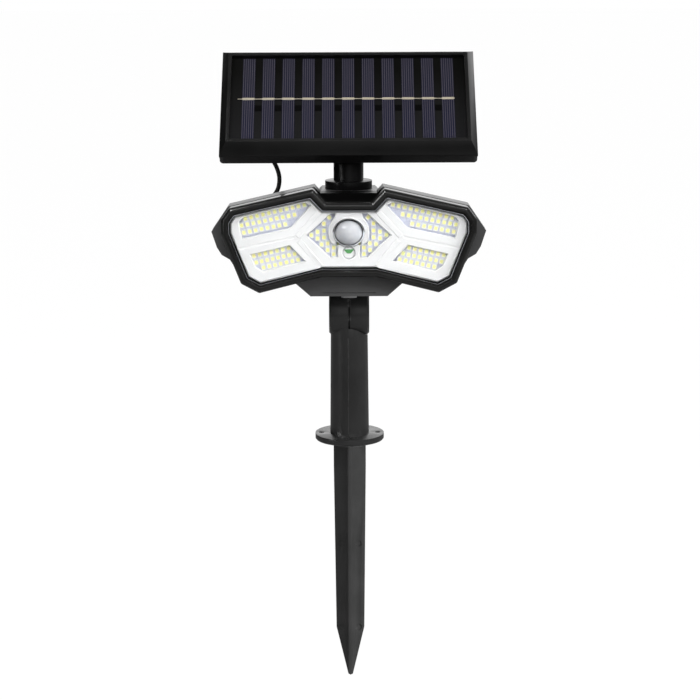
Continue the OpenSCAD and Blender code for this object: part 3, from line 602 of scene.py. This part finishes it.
def inset(points, d):
    """Moves every edge of a clockwise outline inward by d, with mitred corners."""
    moved = []
    for i, p in enumerate(points):
        before = (p - points[i - 1]).normalized()
        after = (points[(i + 1) % len(points)] - p).normalized()
        n1, n2 = Vector((before.y, -before.x)), Vector((after.y, -after.x))
        moved.append(p + d * (n1 + n2) / (1 + n1.dot(n2)))
    return moved


BEZEL = whole([(-15.2, 100.9), (-50.2, 92), (-60.3, 97.4), (-71.1, 124.9), (-71, 133.3), (-66.2, 139.8),
               (-19.9, 150.3), (-12.7, 142.7)])
UPPER_WINDOW = [(-61, 130.4), (-60.8, 132.2), (-58.6, 134.6), (-24.9, 142.7), (-21.4, 140.9), (-32, 129.2),
                (-34.1, 128.2), (-59.1, 122.7)]
LOWER_WINDOW = [(-52, 106.6), (-54.9, 113.6), (-32.9, 118.6), (-24.6, 109.9), (-48, 104.2)]
PIR_Z, LIGHT_Z = 125.9, 114.5
RING_R = 11.5  # edge of the white disc round the dome
LENS_HOLE_R, TRAY_HOLE_R, HOLE_SIDES = 8.95, 8.75, 64
SQUASH = 0.9  # the dome and the rings round it are this high for their width
BOARD_FRONT, LENS_SEAT = -28.6, -31.5
RING_ARC = [math.radians(a) for a in range(133, 212, 13)]
CENTRE_WINDOW = [(-6.3, 111.9), (-10.1, 111.9), (-23.4, 124.3), (-10.2, 136.4), (-7.6, 136.6)] + [
    (RING_R * math.cos(a), PIR_Z + RING_R * math.sin(a)) for a in RING_ARC
] + [(-6.3, 118.3)]
TRAY_INSET = 5.3


def ring_of(bm, outline, y):
    return [bm.verts.new((p.x * MM, y * MM, p.y * MM)) for p in outline]


CORNER_CUT, CORNER_STEPS = 0.7, 3


def corner_cut(outline, d):
    """An inset outline with rounded corners."""
    points = inset(outline, d)
    rounded = []
    for i, p in enumerate(points):
        a = (points[i - 1] - p).normalized()
        b = (points[(i + 1) % len(points)] - p).normalized()
        for k in range(CORNER_STEPS + 1):
            t = k / CORNER_STEPS
            rounded.append(p + a * CORNER_CUT * (1 - t)**2 + b * CORNER_CUT * t**2)
    return rounded


def make_bezel():
    """The frame as one swept section: chamfered rim, ledge, lens seat, deep back and the seal's groove."""
    front, ledge, back_step, joint = -34, -33, -30.3, -24  # depths
    slope, rim, opening, seat, wall = 1.6, 3.3, 4.3, 5.1, 2.6  # insets
    soft = 0.25  # radius along the rim's and the ledge's edges
    groove_in, groove_out, groove_depth = 1.95, 0.85, 0.5
    section = [  # (inset, depth) round the frame's section, from the outer back edge
        (0, joint), (0, front + slope + soft), (soft * 0.35, front + slope - soft * 0.3),
        (slope - soft, front + soft * 0.7), (slope + soft * 0.7, front),
        (rim - soft, front), (rim - soft * 0.3, front + soft * 0.3), (rim, front + soft),
        (rim, ledge - soft * 0.6), (rim + soft * 0.6, ledge), (opening - soft, ledge),
        (opening, ledge + soft), (opening, LENS_SEAT), (seat, LENS_SEAT), (seat, back_step),
        (wall, back_step), (wall, joint),
        (groove_in, joint), (groove_in, joint - groove_depth), (groove_out, joint - groove_depth),
        (groove_out, joint),
    ]
    bm = bmesh.new()
    rings = [ring_of(bm, corner_cut(BEZEL, d), y) for d, y in section]
    bridge(bm, *rings, rings[0])
    bezel = piece_from(bm, "front_bezel_frame", "lamp_head")
    split_edges(bezel, 34)
    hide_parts("front_bezel")
    finish(bezel, "bezel_plastic")


def make_lens():
    """Clear cover with a frosted chamfer round its front edge, pale so that it also paints the glint along
    the lens's edge, and a round hole for the dome.
    """
    front, back, edge, chamfer = -33.6, LENS_SEAT, 4.42, 0.22
    bm = bmesh.new()
    stages = [(edge, back), (edge, front + chamfer), (edge + chamfer, front)]
    rings = [ring_of(bm, corner_cut(BEZEL, d), y) for d, y in stages]
    for face in bridge(bm, *rings)[1]:
        face.material_index = 1
    hole = [ring_of(bm, squashed_circle(LENS_HOLE_R), y) for y in (back, front)]
    bridge(bm, *hole)
    for outer, inner in ((rings[0], hole[0]), (rings[-1], hole[1])):
        edges = [e for loop in (outer, inner) for e in
                 (bm.edges.get((loop[k], loop[(k + 1) % len(loop)])) for k in range(len(loop)))]
        bmesh.ops.triangle_fill(bm, use_beauty=True, edges=edges)
    lens = piece_from(bm, "lens_cover_window", "lamp_head", smooth=False)
    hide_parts("lens_cover")
    finish(lens, "clear_lens", LENS_EDGE_GLINT)


def circle(x, z, r, count):
    return [Vector((x + r * math.cos(2 * math.pi * k / count), z + r * math.sin(2 * math.pi * k / count)))
            for k in range(count)]


def squash(z):
    return PIR_Z + (z - PIR_Z) * SQUASH


def squashed_circle(r):
    """A hole's outline round the dome."""
    return [Vector((p.x, squash(p.y))) for p in circle(0, PIR_Z, r, HOLE_SIDES)]


def inside(p, loop):
    """Whether a point lies in a closed outline."""
    found = False
    for a, b in zip(loop, loop[1:] + loop[:1]):
        if (a.y > p.y) != (b.y > p.y) and p.x < (b.x - a.x) * (p.y - a.y) / (b.y - a.y) + a.x:
            found = not found
    return found


def make_reflector():
    """White tray: raised Y-shaped bands, chamfered windows, and round openings for the dome and sensor."""
    top, base, low, back = -31.3, -31.05, -30.1, -29.6
    rim_slope, window_slope, arm_slope = 0.8, 0.45, 0.35
    port_x, port_z, port_r = 6.3, 119.8, 1.1  # the small openings below the dome, left and right
    sensor_r, sensor_step, sensor_drop = 3.6, 0.4, 0.35
    outline = inset(BEZEL, TRAY_INSET)
    loops = [(inset(BEZEL, TRAY_INSET + rim_slope), base, False)]  # (points, depth, hole)
    for window in (UPPER_WINDOW, LOWER_WINDOW, CENTRE_WINDOW):
        for sign in (1, -1):
            loop = [Vector((sign * x, z)) for x, z in window]
            if sign < 0:
                loop.reverse()
            loops.append((inset(loop, -window_slope), base, False))
            loops.append((loop, low, True))
    loops.append((squashed_circle(TRAY_HOLE_R), base, True))
    for sign in (1, -1):
        loops.append((circle(sign * port_x, port_z, port_r, 20), base, True))
    loops.append((circle(0, LIGHT_Z, sensor_r + sensor_step, 32), base, False))
    loops.append((circle(0, LIGHT_Z, sensor_r, 32), base + sensor_drop, True))
    groove = base + 0.22
    arms = (  # both ends, half width, depth of the flat
        ((-61.3, 117.1), (-30.6, 123.3), 0.4, groove),
        ((-28.8, 123.9), (-16.4, 137.2), 1.25, top),
        ((-27.5, 121.3), (-15.7, 107), 1.25, top),
    )
    for a, b, half_w, flat in arms:
        a, b = Vector(a), Vector(b)
        along = (b - a).normalized()
        across = Vector((along.y, -along.x))
        for sign in (1, -1):
            for grow, depth in ((arm_slope, base), (0, flat)):
                u, w = along * grow, across * (half_w + grow)
                q = [a - u - w, a - u + w, b + u + w, b + u - w]
                loops.append(([Vector((sign * p.x, p.y)) for p in q], depth, False))
    points, depths, edges = [], [], []
    for loop, depth, _ in [(outline, low, False)] + loops:
        first = len(points)
        points += loop
        depths += [depth] * len(loop)
        edges += [(first + k, first + (k + 1) % len(loop)) for k in range(len(loop))]
    found = geometry.delaunay_2d_cdt(points, edges, [], 0, 1e-6)
    verts, faces, origins = found[0], found[2], found[3]
    holes = [loop for loop, _, hole in loops if hole]
    bm = bmesh.new()
    made = [bm.verts.new((v.x * MM, (depths[origins[i][0]] if origins[i] else base) * MM, v.y * MM))
            for i, v in enumerate(verts)]
    for f in faces:
        middle = sum((verts[i] for i in f), Vector((0, 0))) / len(f)
        if inside(middle, outline) and not any(inside(middle, h) for h in holes):
            bm.faces.new([made[i] for i in f])
    bmesh.ops.delete(bm, geom=[v for v in bm.verts if not v.link_faces], context="VERTS")
    # The walls of the windows and of the rim go back to one plane, which closes the tray
    front = list(bm.faces)
    grown = bmesh.ops.extrude_face_region(bm, geom=front)
    for v in (g for g in grown["geom"] if isinstance(g, bmesh.types.BMVert)):
        v.co.y = back * MM
    tray = piece_from(bm, "reflector_tray", "lamp_head", smooth=False)
    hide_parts("reflector")
    finish(tray, "white_plastic")


def rounded_rect(w, h, r, per_corner=4):
    """A rectangle round the origin whose corners are arcs."""
    points = []
    for corner, (sx, sz) in enumerate(((1, 1), (-1, 1), (-1, -1), (1, -1))):
        for k in range(per_corner):
            a = math.radians(90 * (corner + k / (per_corner - 1)))
            points.append((sx * (w / 2 - r) + r * math.cos(a), sz * (h / 2 - r) + r * math.sin(a)))
    return points


LED_W, LED_H, LED_T = 2.8, 3.5, 0.7
RESIN_W, RESIN_H = 1.85, 2.1


def add_led(bm, x, z, turn):
    """One package: a white body with chamfered top edge, a rim, and a resin pad just under the rim."""
    body, resin = rounded_rect(LED_W, LED_H, 0.15), rounded_rect(RESIN_W, RESIN_H, 0.4)
    rings = [
        (body, 0.0), (body, LED_T - 0.08), (rounded_rect(LED_W - 0.14, LED_H - 0.14, 0.15), LED_T),
        (resin, LED_T), (rounded_rect(RESIN_W - 0.15, RESIN_H - 0.15, 0.4), LED_T - 0.08),
        (rounded_rect(RESIN_W - 0.75, RESIN_H - 0.85, 0.3), LED_T - 0.05),
    ]
    c, s = math.cos(turn), math.sin(turn)
    made = []
    for ring, lift in rings:
        turned = [Vector((x + px * c - pz * s, z + px * s + pz * c)) for px, pz in ring]
        made.append(ring_of(bm, turned, BOARD_FRONT - lift))
    bands = bridge(bm, *made)
    bm.faces.new(made[0])
    for face in bands[3] + bands[4] + [bm.faces.new(made[-1])]:
        face.material_index = 1


def between(a, b, count):
    """Points spread evenly from a to b."""
    shares = [i / (count - 1) for i in range(count)]
    return [(a[0] + (b[0] - a[0]) * t, a[1] + (b[1] - a[1]) * t) for t in shares]


UPPER_ROWS = (between((-57.5, 133.7), (-24.6, 141.3), 11) + between((-59.6, 129.9), (-30.1, 135.8), 10)
              + between((-58.4, 125.9), (-35.3, 130.5), 8))
LOWER_ROWS = (between((-53, 112.8), (-33.6, 117), 7) + between((-51.7, 109.1), (-30.3, 113.8), 8)
              + between((-47.7, 106.2), (-28.4, 110.5), 7))
CENTRE_SPOTS = [(-13.8, 130.7), (-13.8, 126.8), (-13.8, 123), (-17.4, 126.1), (-17.4, 122.5), (-20.9, 124.3),
                (-15.2, 119.1), (-11.8, 119.6), (-11.8, 115.9), (-8.4, 117.2), (-8.4, 113.6), (-5.5, 119.3)]


def make_leds():
    """Five groups of packages. The wings' rows slope, and two beside the dome's top stand at 45 degrees."""
    groups = {
        "leds_upper_left": [(x, z, WING_TURN) for x, z in UPPER_ROWS],
        "leds_upper_right": [(-x, z, -WING_TURN) for x, z in UPPER_ROWS],
        "leds_lower_left": [(x, z, WING_TURN) for x, z in LOWER_ROWS],
        "leds_lower_right": [(-x, z, -WING_TURN) for x, z in LOWER_ROWS],
        "leds_centre": [(s * x, z, 0) for x, z in CENTRE_SPOTS for s in (1, -1)]
        + [(s * -10.9, 134.2, s * math.radians(45)) for s in (1, -1)],
    }
    for node, places in groups.items():
        bm = bmesh.new()
        for x, z, turn in places:
            add_led(bm, x, z, turn)
        leds = piece_from(bm, node + "_packages", "lamp_head", smooth=False)
        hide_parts(node)
        finish(leds, LED_BODY, "led_phosphor")


ROUND_SIDES = 96


def flatten(bm):
    """Makes what is turned about the dome's axis a little wider than high."""
    for v in bm.verts:
        v.co.z = squash(v.co.z / MM) * MM


def lathe_ring(bm, section, first=0, last=360):
    """A ring swept about the dome's axis, from one angle to another, from (radius, y) points."""
    full = last - first >= 360
    rows = []
    for k in range(ROUND_SIDES if full else ROUND_SIDES + 1):
        a = math.radians(first + (last - first) * k / ROUND_SIDES)
        c, s = math.cos(a), math.sin(a)
        rows.append([bm.verts.new((r * c * MM, y * MM, (PIR_Z + r * s) * MM)) for r, y in section])
    if full:
        bridge(bm, *rows, rows[0])
    else:
        capped(bm, rows)


FOOT_RING = [(7.55, -31.9), (7.65, -32.1), (7.9, -32.15), (8.0, -32.0), (8.05, -31.7), (7.55, -31.65)]
# A dark arc of painted shade along the upper edge of the lens cover's hole
HOLE_EDGE_SHADE = [(8.62, -33.5), (8.7, -33.66), (8.84, -33.68), (8.92, -33.5), (8.9, -31.7), (8.62, -31.7)]


def make_collar():
    """Thin dark ring round the dome's foot, and above it a dark arc on the upper edge of the lens cover's
    hole, painted shade.
    """
    bm = bmesh.new()
    lathe_ring(bm, FOOT_RING)
    lathe_ring(bm, HOLE_EDGE_SHADE, 4, 176)
    flatten(bm)
    collar = piece_from(bm, "pir_collar_ring", "lamp_head")
    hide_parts("pir_collar")
    finish(collar, DARK_LINE)


def make_dome():
    """Sensor dome: a shallow shell with a flange, its outside pressed into rings of shallow lens cells."""
    base, foot, height, skin, flange_w, flange_t = -31.6, 7.45, 5.1, 0.8, 1.1, 0.8
    rings, cell_rows, cell_spokes, relief_depth = 26, 4, 6, 0.05
    bm = bmesh.new()

    def ring(r, y):
        return ring_of(bm, circle(0, PIR_Z, r, ROUND_SIDES), y)

    def shell(foot_r, high, relief):
        """A cap of a sphere on a foot radius, with cells pressed into it that fade out at the foot."""
        radius = (foot_r**2 + high**2) / (2 * high)
        reach = math.asin(foot_r / radius)
        rows = []
        for i in range(1, rings + 1):
            polar = reach * i / rings
            r, y = radius * math.sin(polar), base - radius * math.cos(polar) + radius - high
            row = ring(r, y)
            for k, v in enumerate(row):
                out = abs(math.sin(cell_rows * math.pi * i / rings))
                around = abs(math.sin(cell_spokes * 2 * math.pi * k / ROUND_SIDES))
                fade = min(1, 4 * (1 - i / rings))
                v.co.y += relief * (1 - min(1, (out + around) * 0.8)) * fade * MM
            rows.append(row)
        tip = bm.verts.new((0, (base - high) * MM, PIR_Z * MM))
        for k in range(ROUND_SIDES):
            bm.faces.new((tip, rows[0][k], rows[0][(k + 1) % ROUND_SIDES]))
        bridge(bm, *rows)
        return rows[-1]

    outer, inner = shell(foot, height, relief_depth), shell(foot - skin, height - skin, 0)
    lip, under = foot + flange_w, base + flange_t
    flange = [ring(foot + 0.2, base), ring(lip, base), ring(lip, under), ring(foot - skin, under)]
    bridge(bm, outer, *flange, inner)
    flatten(bm)
    dome = piece_from(bm, "pir_dome_shell", "lamp_head")
    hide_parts("pir_dome")
    finish(dome, "dome_plastic")


def on_head(x, z, y):
    return Vector((x, y, z))


def plate(bm, place, outline, low, high, chamfer, material=0):
    """A closed flat piece: an outline from one level to another, chamfered there.

    place makes a point in millimetres from (across, up, level).
    """
    area = sum(a[0] * b[1] - b[0] * a[1] for a, b in zip(outline, outline[1:] + outline[:1]))
    points = [Vector(p) for p in (outline if area < 0 else outline[::-1])]
    shoulder = high - math.copysign(chamfer, high - low)
    stages = ((points, low), (points, shoulder), (inset(points, chamfer), high))
    rings = [[bm.verts.new(place(p.x, p.y, level) * MM) for p in ps] for ps, level in stages]
    for face in capped(bm, rings):
        face.material_index = material


def make_light_sensor():
    """White light guide in the round window, with a green tab on its upper part."""
    guide_r, guide_front, tab_front = 3.35, -30.3, -30.5
    tab = [(-2.75, 1.9), (2.75, 1.9), (2.35, 1.2), (1.0, -0.4), (-1.0, -0.4), (-2.35, 1.2)]
    bm = bmesh.new()
    plate(bm, on_head, circle(0, LIGHT_Z, guide_r, 48), BOARD_FRONT - 0.02, guide_front, 0.3)
    plate(bm, on_head, [(x, z + LIGHT_Z) for x, z in tab], guide_front - 0.01, tab_front, 0.05, 1)
    sensor = piece_from(bm, "light_sensor_window", "lamp_head", smooth=False)
    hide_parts("light_sensor")
    finish(sensor, "white_plastic", GREEN_TAB)


# ---- Panel ----
PANEL_UP, LAMINATE_LEVEL, PIVOT_Z = 25.7, 19.7, 165
ON_PANEL = Matrix.Translation((0, 0, PIVOT_Z)) @ Matrix.Rotation(math.pi / 2 - PANEL_LEAN, 4, "X")
PANEL_H, BORDER_W, RIM_W = 74.7, 5.4, 1.9
CELLS, PITCH, STRIP_W, STRIP_T = 11, 11.3, 7.1, 0.12
STRIP_L = PANEL_H - 2 * (BORDER_W + RIM_W) - 1
FINGER_COUNT, FINGER_PITCH, FINGER_W = 6, 1.212, 0.34
RIBBON_W, RIBBON_X = 0.42, -1.2
PAD_R = 0.76
SINK = 0.02  # how far what lies on a strip or on the sheet is let into it
GAP_PAD_Y, GAP_PAD_H = -6.6, 4.2


def on_panel(x, up, level):
    return ON_PANEL @ Vector((x, PANEL_UP + up, level))


def box_outline(x, y, w, h):
    left, right, low, high = x - w / 2, x + w / 2, y - h / 2, y + h / 2
    return [(left, low), (left, high), (right, high), (right, low)]


def row(count, pitch):
    """Places either side of zero, a pitch apart."""
    return [(i - (count - 1) / 2) * pitch for i in range(count)]


def make_cells():
    """Eleven strips with six printed fingers each, and the ribbon across their middle with its pads."""
    top = LAMINATE_LEVEL
    face = top + STRIP_T
    bm = bmesh.new()
    for x in row(CELLS, PITCH):
        plate(bm, on_panel, box_outline(x, 0, STRIP_W, STRIP_L), top, face, 0.03)
        for dx in row(FINGER_COUNT, FINGER_PITCH):
            finger = box_outline(x + dx, 0, FINGER_W, STRIP_L - 0.6)
            plate(bm, on_panel, finger, face - SINK, face + 0.04, 0.02, 1)
    cells = piece_from(bm, "solar_cell_strips", "panel", smooth=False)
    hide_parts("solar_cells")
    finish(cells, "silicon", FINGERS)

    bm = bmesh.new()
    reach = STRIP_W / 2 + 0.1 - PAD_R  # to the middle of each rounded end
    arc = [math.radians(a) for a in range(0, 181, 20)]
    for x in row(CELLS, PITCH):
        pad = [(x + s * (reach + PAD_R * math.sin(a)), s * PAD_R * math.cos(a)) for s in (1, -1) for a in arc]
        plate(bm, on_panel, pad, face - SINK, face + 0.24, 0.1)
    ribbon = box_outline(RIBBON_X, 0, PITCH * CELLS - 1.6, RIBBON_W)
    plate(bm, on_panel, ribbon, top + SINK, face + 0.18, 0.08)
    ribbons = piece_from(bm, "cell_ribbon_row", "panel", smooth=False)
    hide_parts("cell_ribbons")
    finish(ribbons, "tinned")

    bm = bmesh.new()
    for x in row(CELLS - 1, PITCH):
        pad = box_outline(x, GAP_PAD_Y, PITCH - STRIP_W - 0.3, GAP_PAD_H)
        plate(bm, on_panel, pad, top, top + 0.08, 0.03)
    pads = piece_from(bm, "cell_gap_pads", "panel", smooth=False)
    finish(pads, GAP_PAD)


# ---- Tube ----
TUBE_D, TUBE_TOP_D = 22.6, 21.4
SEAM_X, SEAM_LOW, SEAM_HIGH, SEAM_STEPS = -0.7, 3.6, 62.0, 24
SEAM_SECTION = [(-0.3, 0.1), (-0.17, -0.1), (0, -0.15), (0.17, -0.1), (0.3, 0.1)]  # (across, behind the face)


def make_tube_seam():
    """The mould's parting line: a low bead down the front of the tube, coloured lighter than the tube as a
    painted highlight along it.
    """
    bm = bmesh.new()
    rows = []
    for i in range(SEAM_STEPS + 1):
        t = i / SEAM_STEPS
        z = SEAM_LOW + (SEAM_HIGH - SEAM_LOW) * t
        radius = (TUBE_D + (TUBE_TOP_D - TUBE_D) * t) / 2
        face = -math.sqrt(radius**2 - SEAM_X**2)
        rows.append([bm.verts.new(((SEAM_X + dx) * MM, (face + dy) * MM, z * MM)) for dx, dy in SEAM_SECTION])
    capped(bm, rows)
    seam = piece_from(bm, "tube_parting_line", "stake")
    finish(seam, SEAM)


# ---- Studio ----
FLOOR_R, FLOOR_GAP = 14, 0.0003
AIM_AT, SPIKE_MIDDLE = (0, 0, 0.08), (0, 0, -0.07)


def make_studio():
    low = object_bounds()[0].z
    bm = bmesh.new()
    bmesh.ops.create_circle(bm, cap_ends=True, segments=96, radius=FLOOR_R)
    for v in bm.verts:
        v.co.z = low - FLOOR_GAP
    floor = piece_from(bm, "floor", smooth=False)
    finish(floor, floor_surface("floor_paper"))

    world = bpy.data.worlds.new("studio")
    world.use_nodes = True
    tree = world.node_tree
    room = tree.nodes["Background"]
    room.inputs["Strength"].default_value = 1.0
    where = tree.nodes.new("ShaderNodeTexCoord")
    split = tree.nodes.new("ShaderNodeSeparateXYZ")
    tree.links.new(where.outputs["Generated"], split.inputs["Vector"])

    def sweep(axis, *stops):
        """A grey that runs with one axis of the direction, from stops of (place, grey)."""
        place = tree.nodes.new("ShaderNodeMath")
        place.operation = "MULTIPLY_ADD"
        place.inputs[1].default_value = place.inputs[2].default_value = 0.5
        tree.links.new(split.outputs[axis], place.inputs[0])
        ramp = tree.nodes.new("ShaderNodeValToRGB")
        while len(ramp.color_ramp.elements) < len(stops):
            ramp.color_ramp.elements.new(0.5)
        for element, (at, grey) in zip(ramp.color_ramp.elements, stops):
            element.position = (at + 1) / 2
            element.color = (grey, grey, grey, 1)
        tree.links.new(place.outputs[0], ramp.inputs["Fac"])
        return ramp.outputs["Color"]

    def blended(mode, a, b):
        mix = tree.nodes.new("ShaderNodeMix")
        mix.data_type, mix.blend_type = "RGBA", mode
        mix.inputs[0].default_value = 1
        tree.links.new(a, mix.inputs[6])
        tree.links.new(b, mix.inputs[7])
        return mix.outputs[2]

    backdrop = sweep("Y", (-1.0, 0.5), (-0.6, 0.25), (-0.2, 0.05), (0.3, 0.2), (0.75, 1.6))
    side = sweep("X", (-0.45, 0.0), (-0.1, 1.0), (0.3, 1.0), (0.7, 0.5))
    overhead = sweep("Z", (0.1, 0.0), (0.75, 0.08), (0.97, 0.02))
    tree.links.new(blended("ADD", blended("MULTIPLY", backdrop, side), overhead), room.inputs["Color"])
    white = tree.nodes.new("ShaderNodeBackground")
    path = tree.nodes.new("ShaderNodeLightPath")
    both = tree.nodes.new("ShaderNodeMixShader")
    tree.links.new(path.outputs["Is Camera Ray"], both.inputs[0])
    tree.links.new(room.outputs[0], both.inputs[1])
    tree.links.new(white.outputs[0], both.inputs[2])
    tree.links.new(both.outputs[0], tree.nodes["World Output"].inputs["Surface"])
    white.inputs["Color"].default_value = (1, 1, 1, 1)
    scene.world = world

    def aim(lamp, place, target):
        lamp.location = place
        lamp.rotation_euler = (Vector(target) - Vector(place)).to_track_quat("-Z", "Y").to_euler()
        scene.collection.objects.link(lamp)

    def softbox(name, place, width, height, power, target=AIM_AT):
        light = bpy.data.lights.new(name, "AREA")
        light.shape = "RECTANGLE"
        light.size, light.size_y, light.energy = width, height, power
        lamp = bpy.data.objects.new(name, light)
        aim(lamp, place, target)
        return lamp

    # The last two values say whether a lamp lights matt surfaces and whether glossy ones mirror it
    for name, place, width, height, power, diffuse, glossy in (
        ("key", (-1.2, -0.7, 0.36), 0.1, 0.9, 3, True, True),
        ("fill", (1.35, -0.7, 0.3), 0.5, 0.8, 13, True, False),
        ("front", (0.0, -1.3, 1.35), 1.4, 0.7, 9.3, True, False),
        ("rim", (0.1, -1.2, 1.3), 0.7, 0.25, 3, True, True),
        ("glint_left", (-0.78, -0.49, 1.2), 0.45, 0.45, 12, False, True),
        ("glint_right", (0.72, -0.5, 1.2), 0.35, 0.35, 4, False, True),
    ):
        lamp = softbox(name, place, width, height, power)
        lamp.visible_diffuse, lamp.visible_glossy = diffuse, glossy

    # One lamp lights the spike alone, from its right
    beside = bpy.data.collections.new("beside")
    beside.objects.link(nodes["ground_spike"])
    lamp = softbox("spike_side", (0.9, -0.52, 0.0), 0.3, 0.5, 22, SPIKE_MIDDLE)
    lamp.light_linking.receiver_collection = beside

    # A sun for the floor alone keeps the paper white without lighting the lamp
    paper = bpy.data.collections.new("paper")
    paper.objects.link(floor)
    sun = bpy.data.lights.new("floor_sun", "SUN")
    sun.energy = 2.2
    lamp = bpy.data.objects.new("floor_sun", sun)
    lamp.light_linking.receiver_collection = paper
    lamp.light_linking.blocker_collection = paper
    aim(lamp, (0, 0, 3), (0, 0, 0))
    scene.view_settings.view_transform = "Standard"


make_camera()
make_cables()
make_bezel()
make_lens()
make_reflector()
make_leds()
make_dome()
make_collar()
make_light_sensor()
make_cells()
make_tube_seam()
dress_cad()
make_studio()
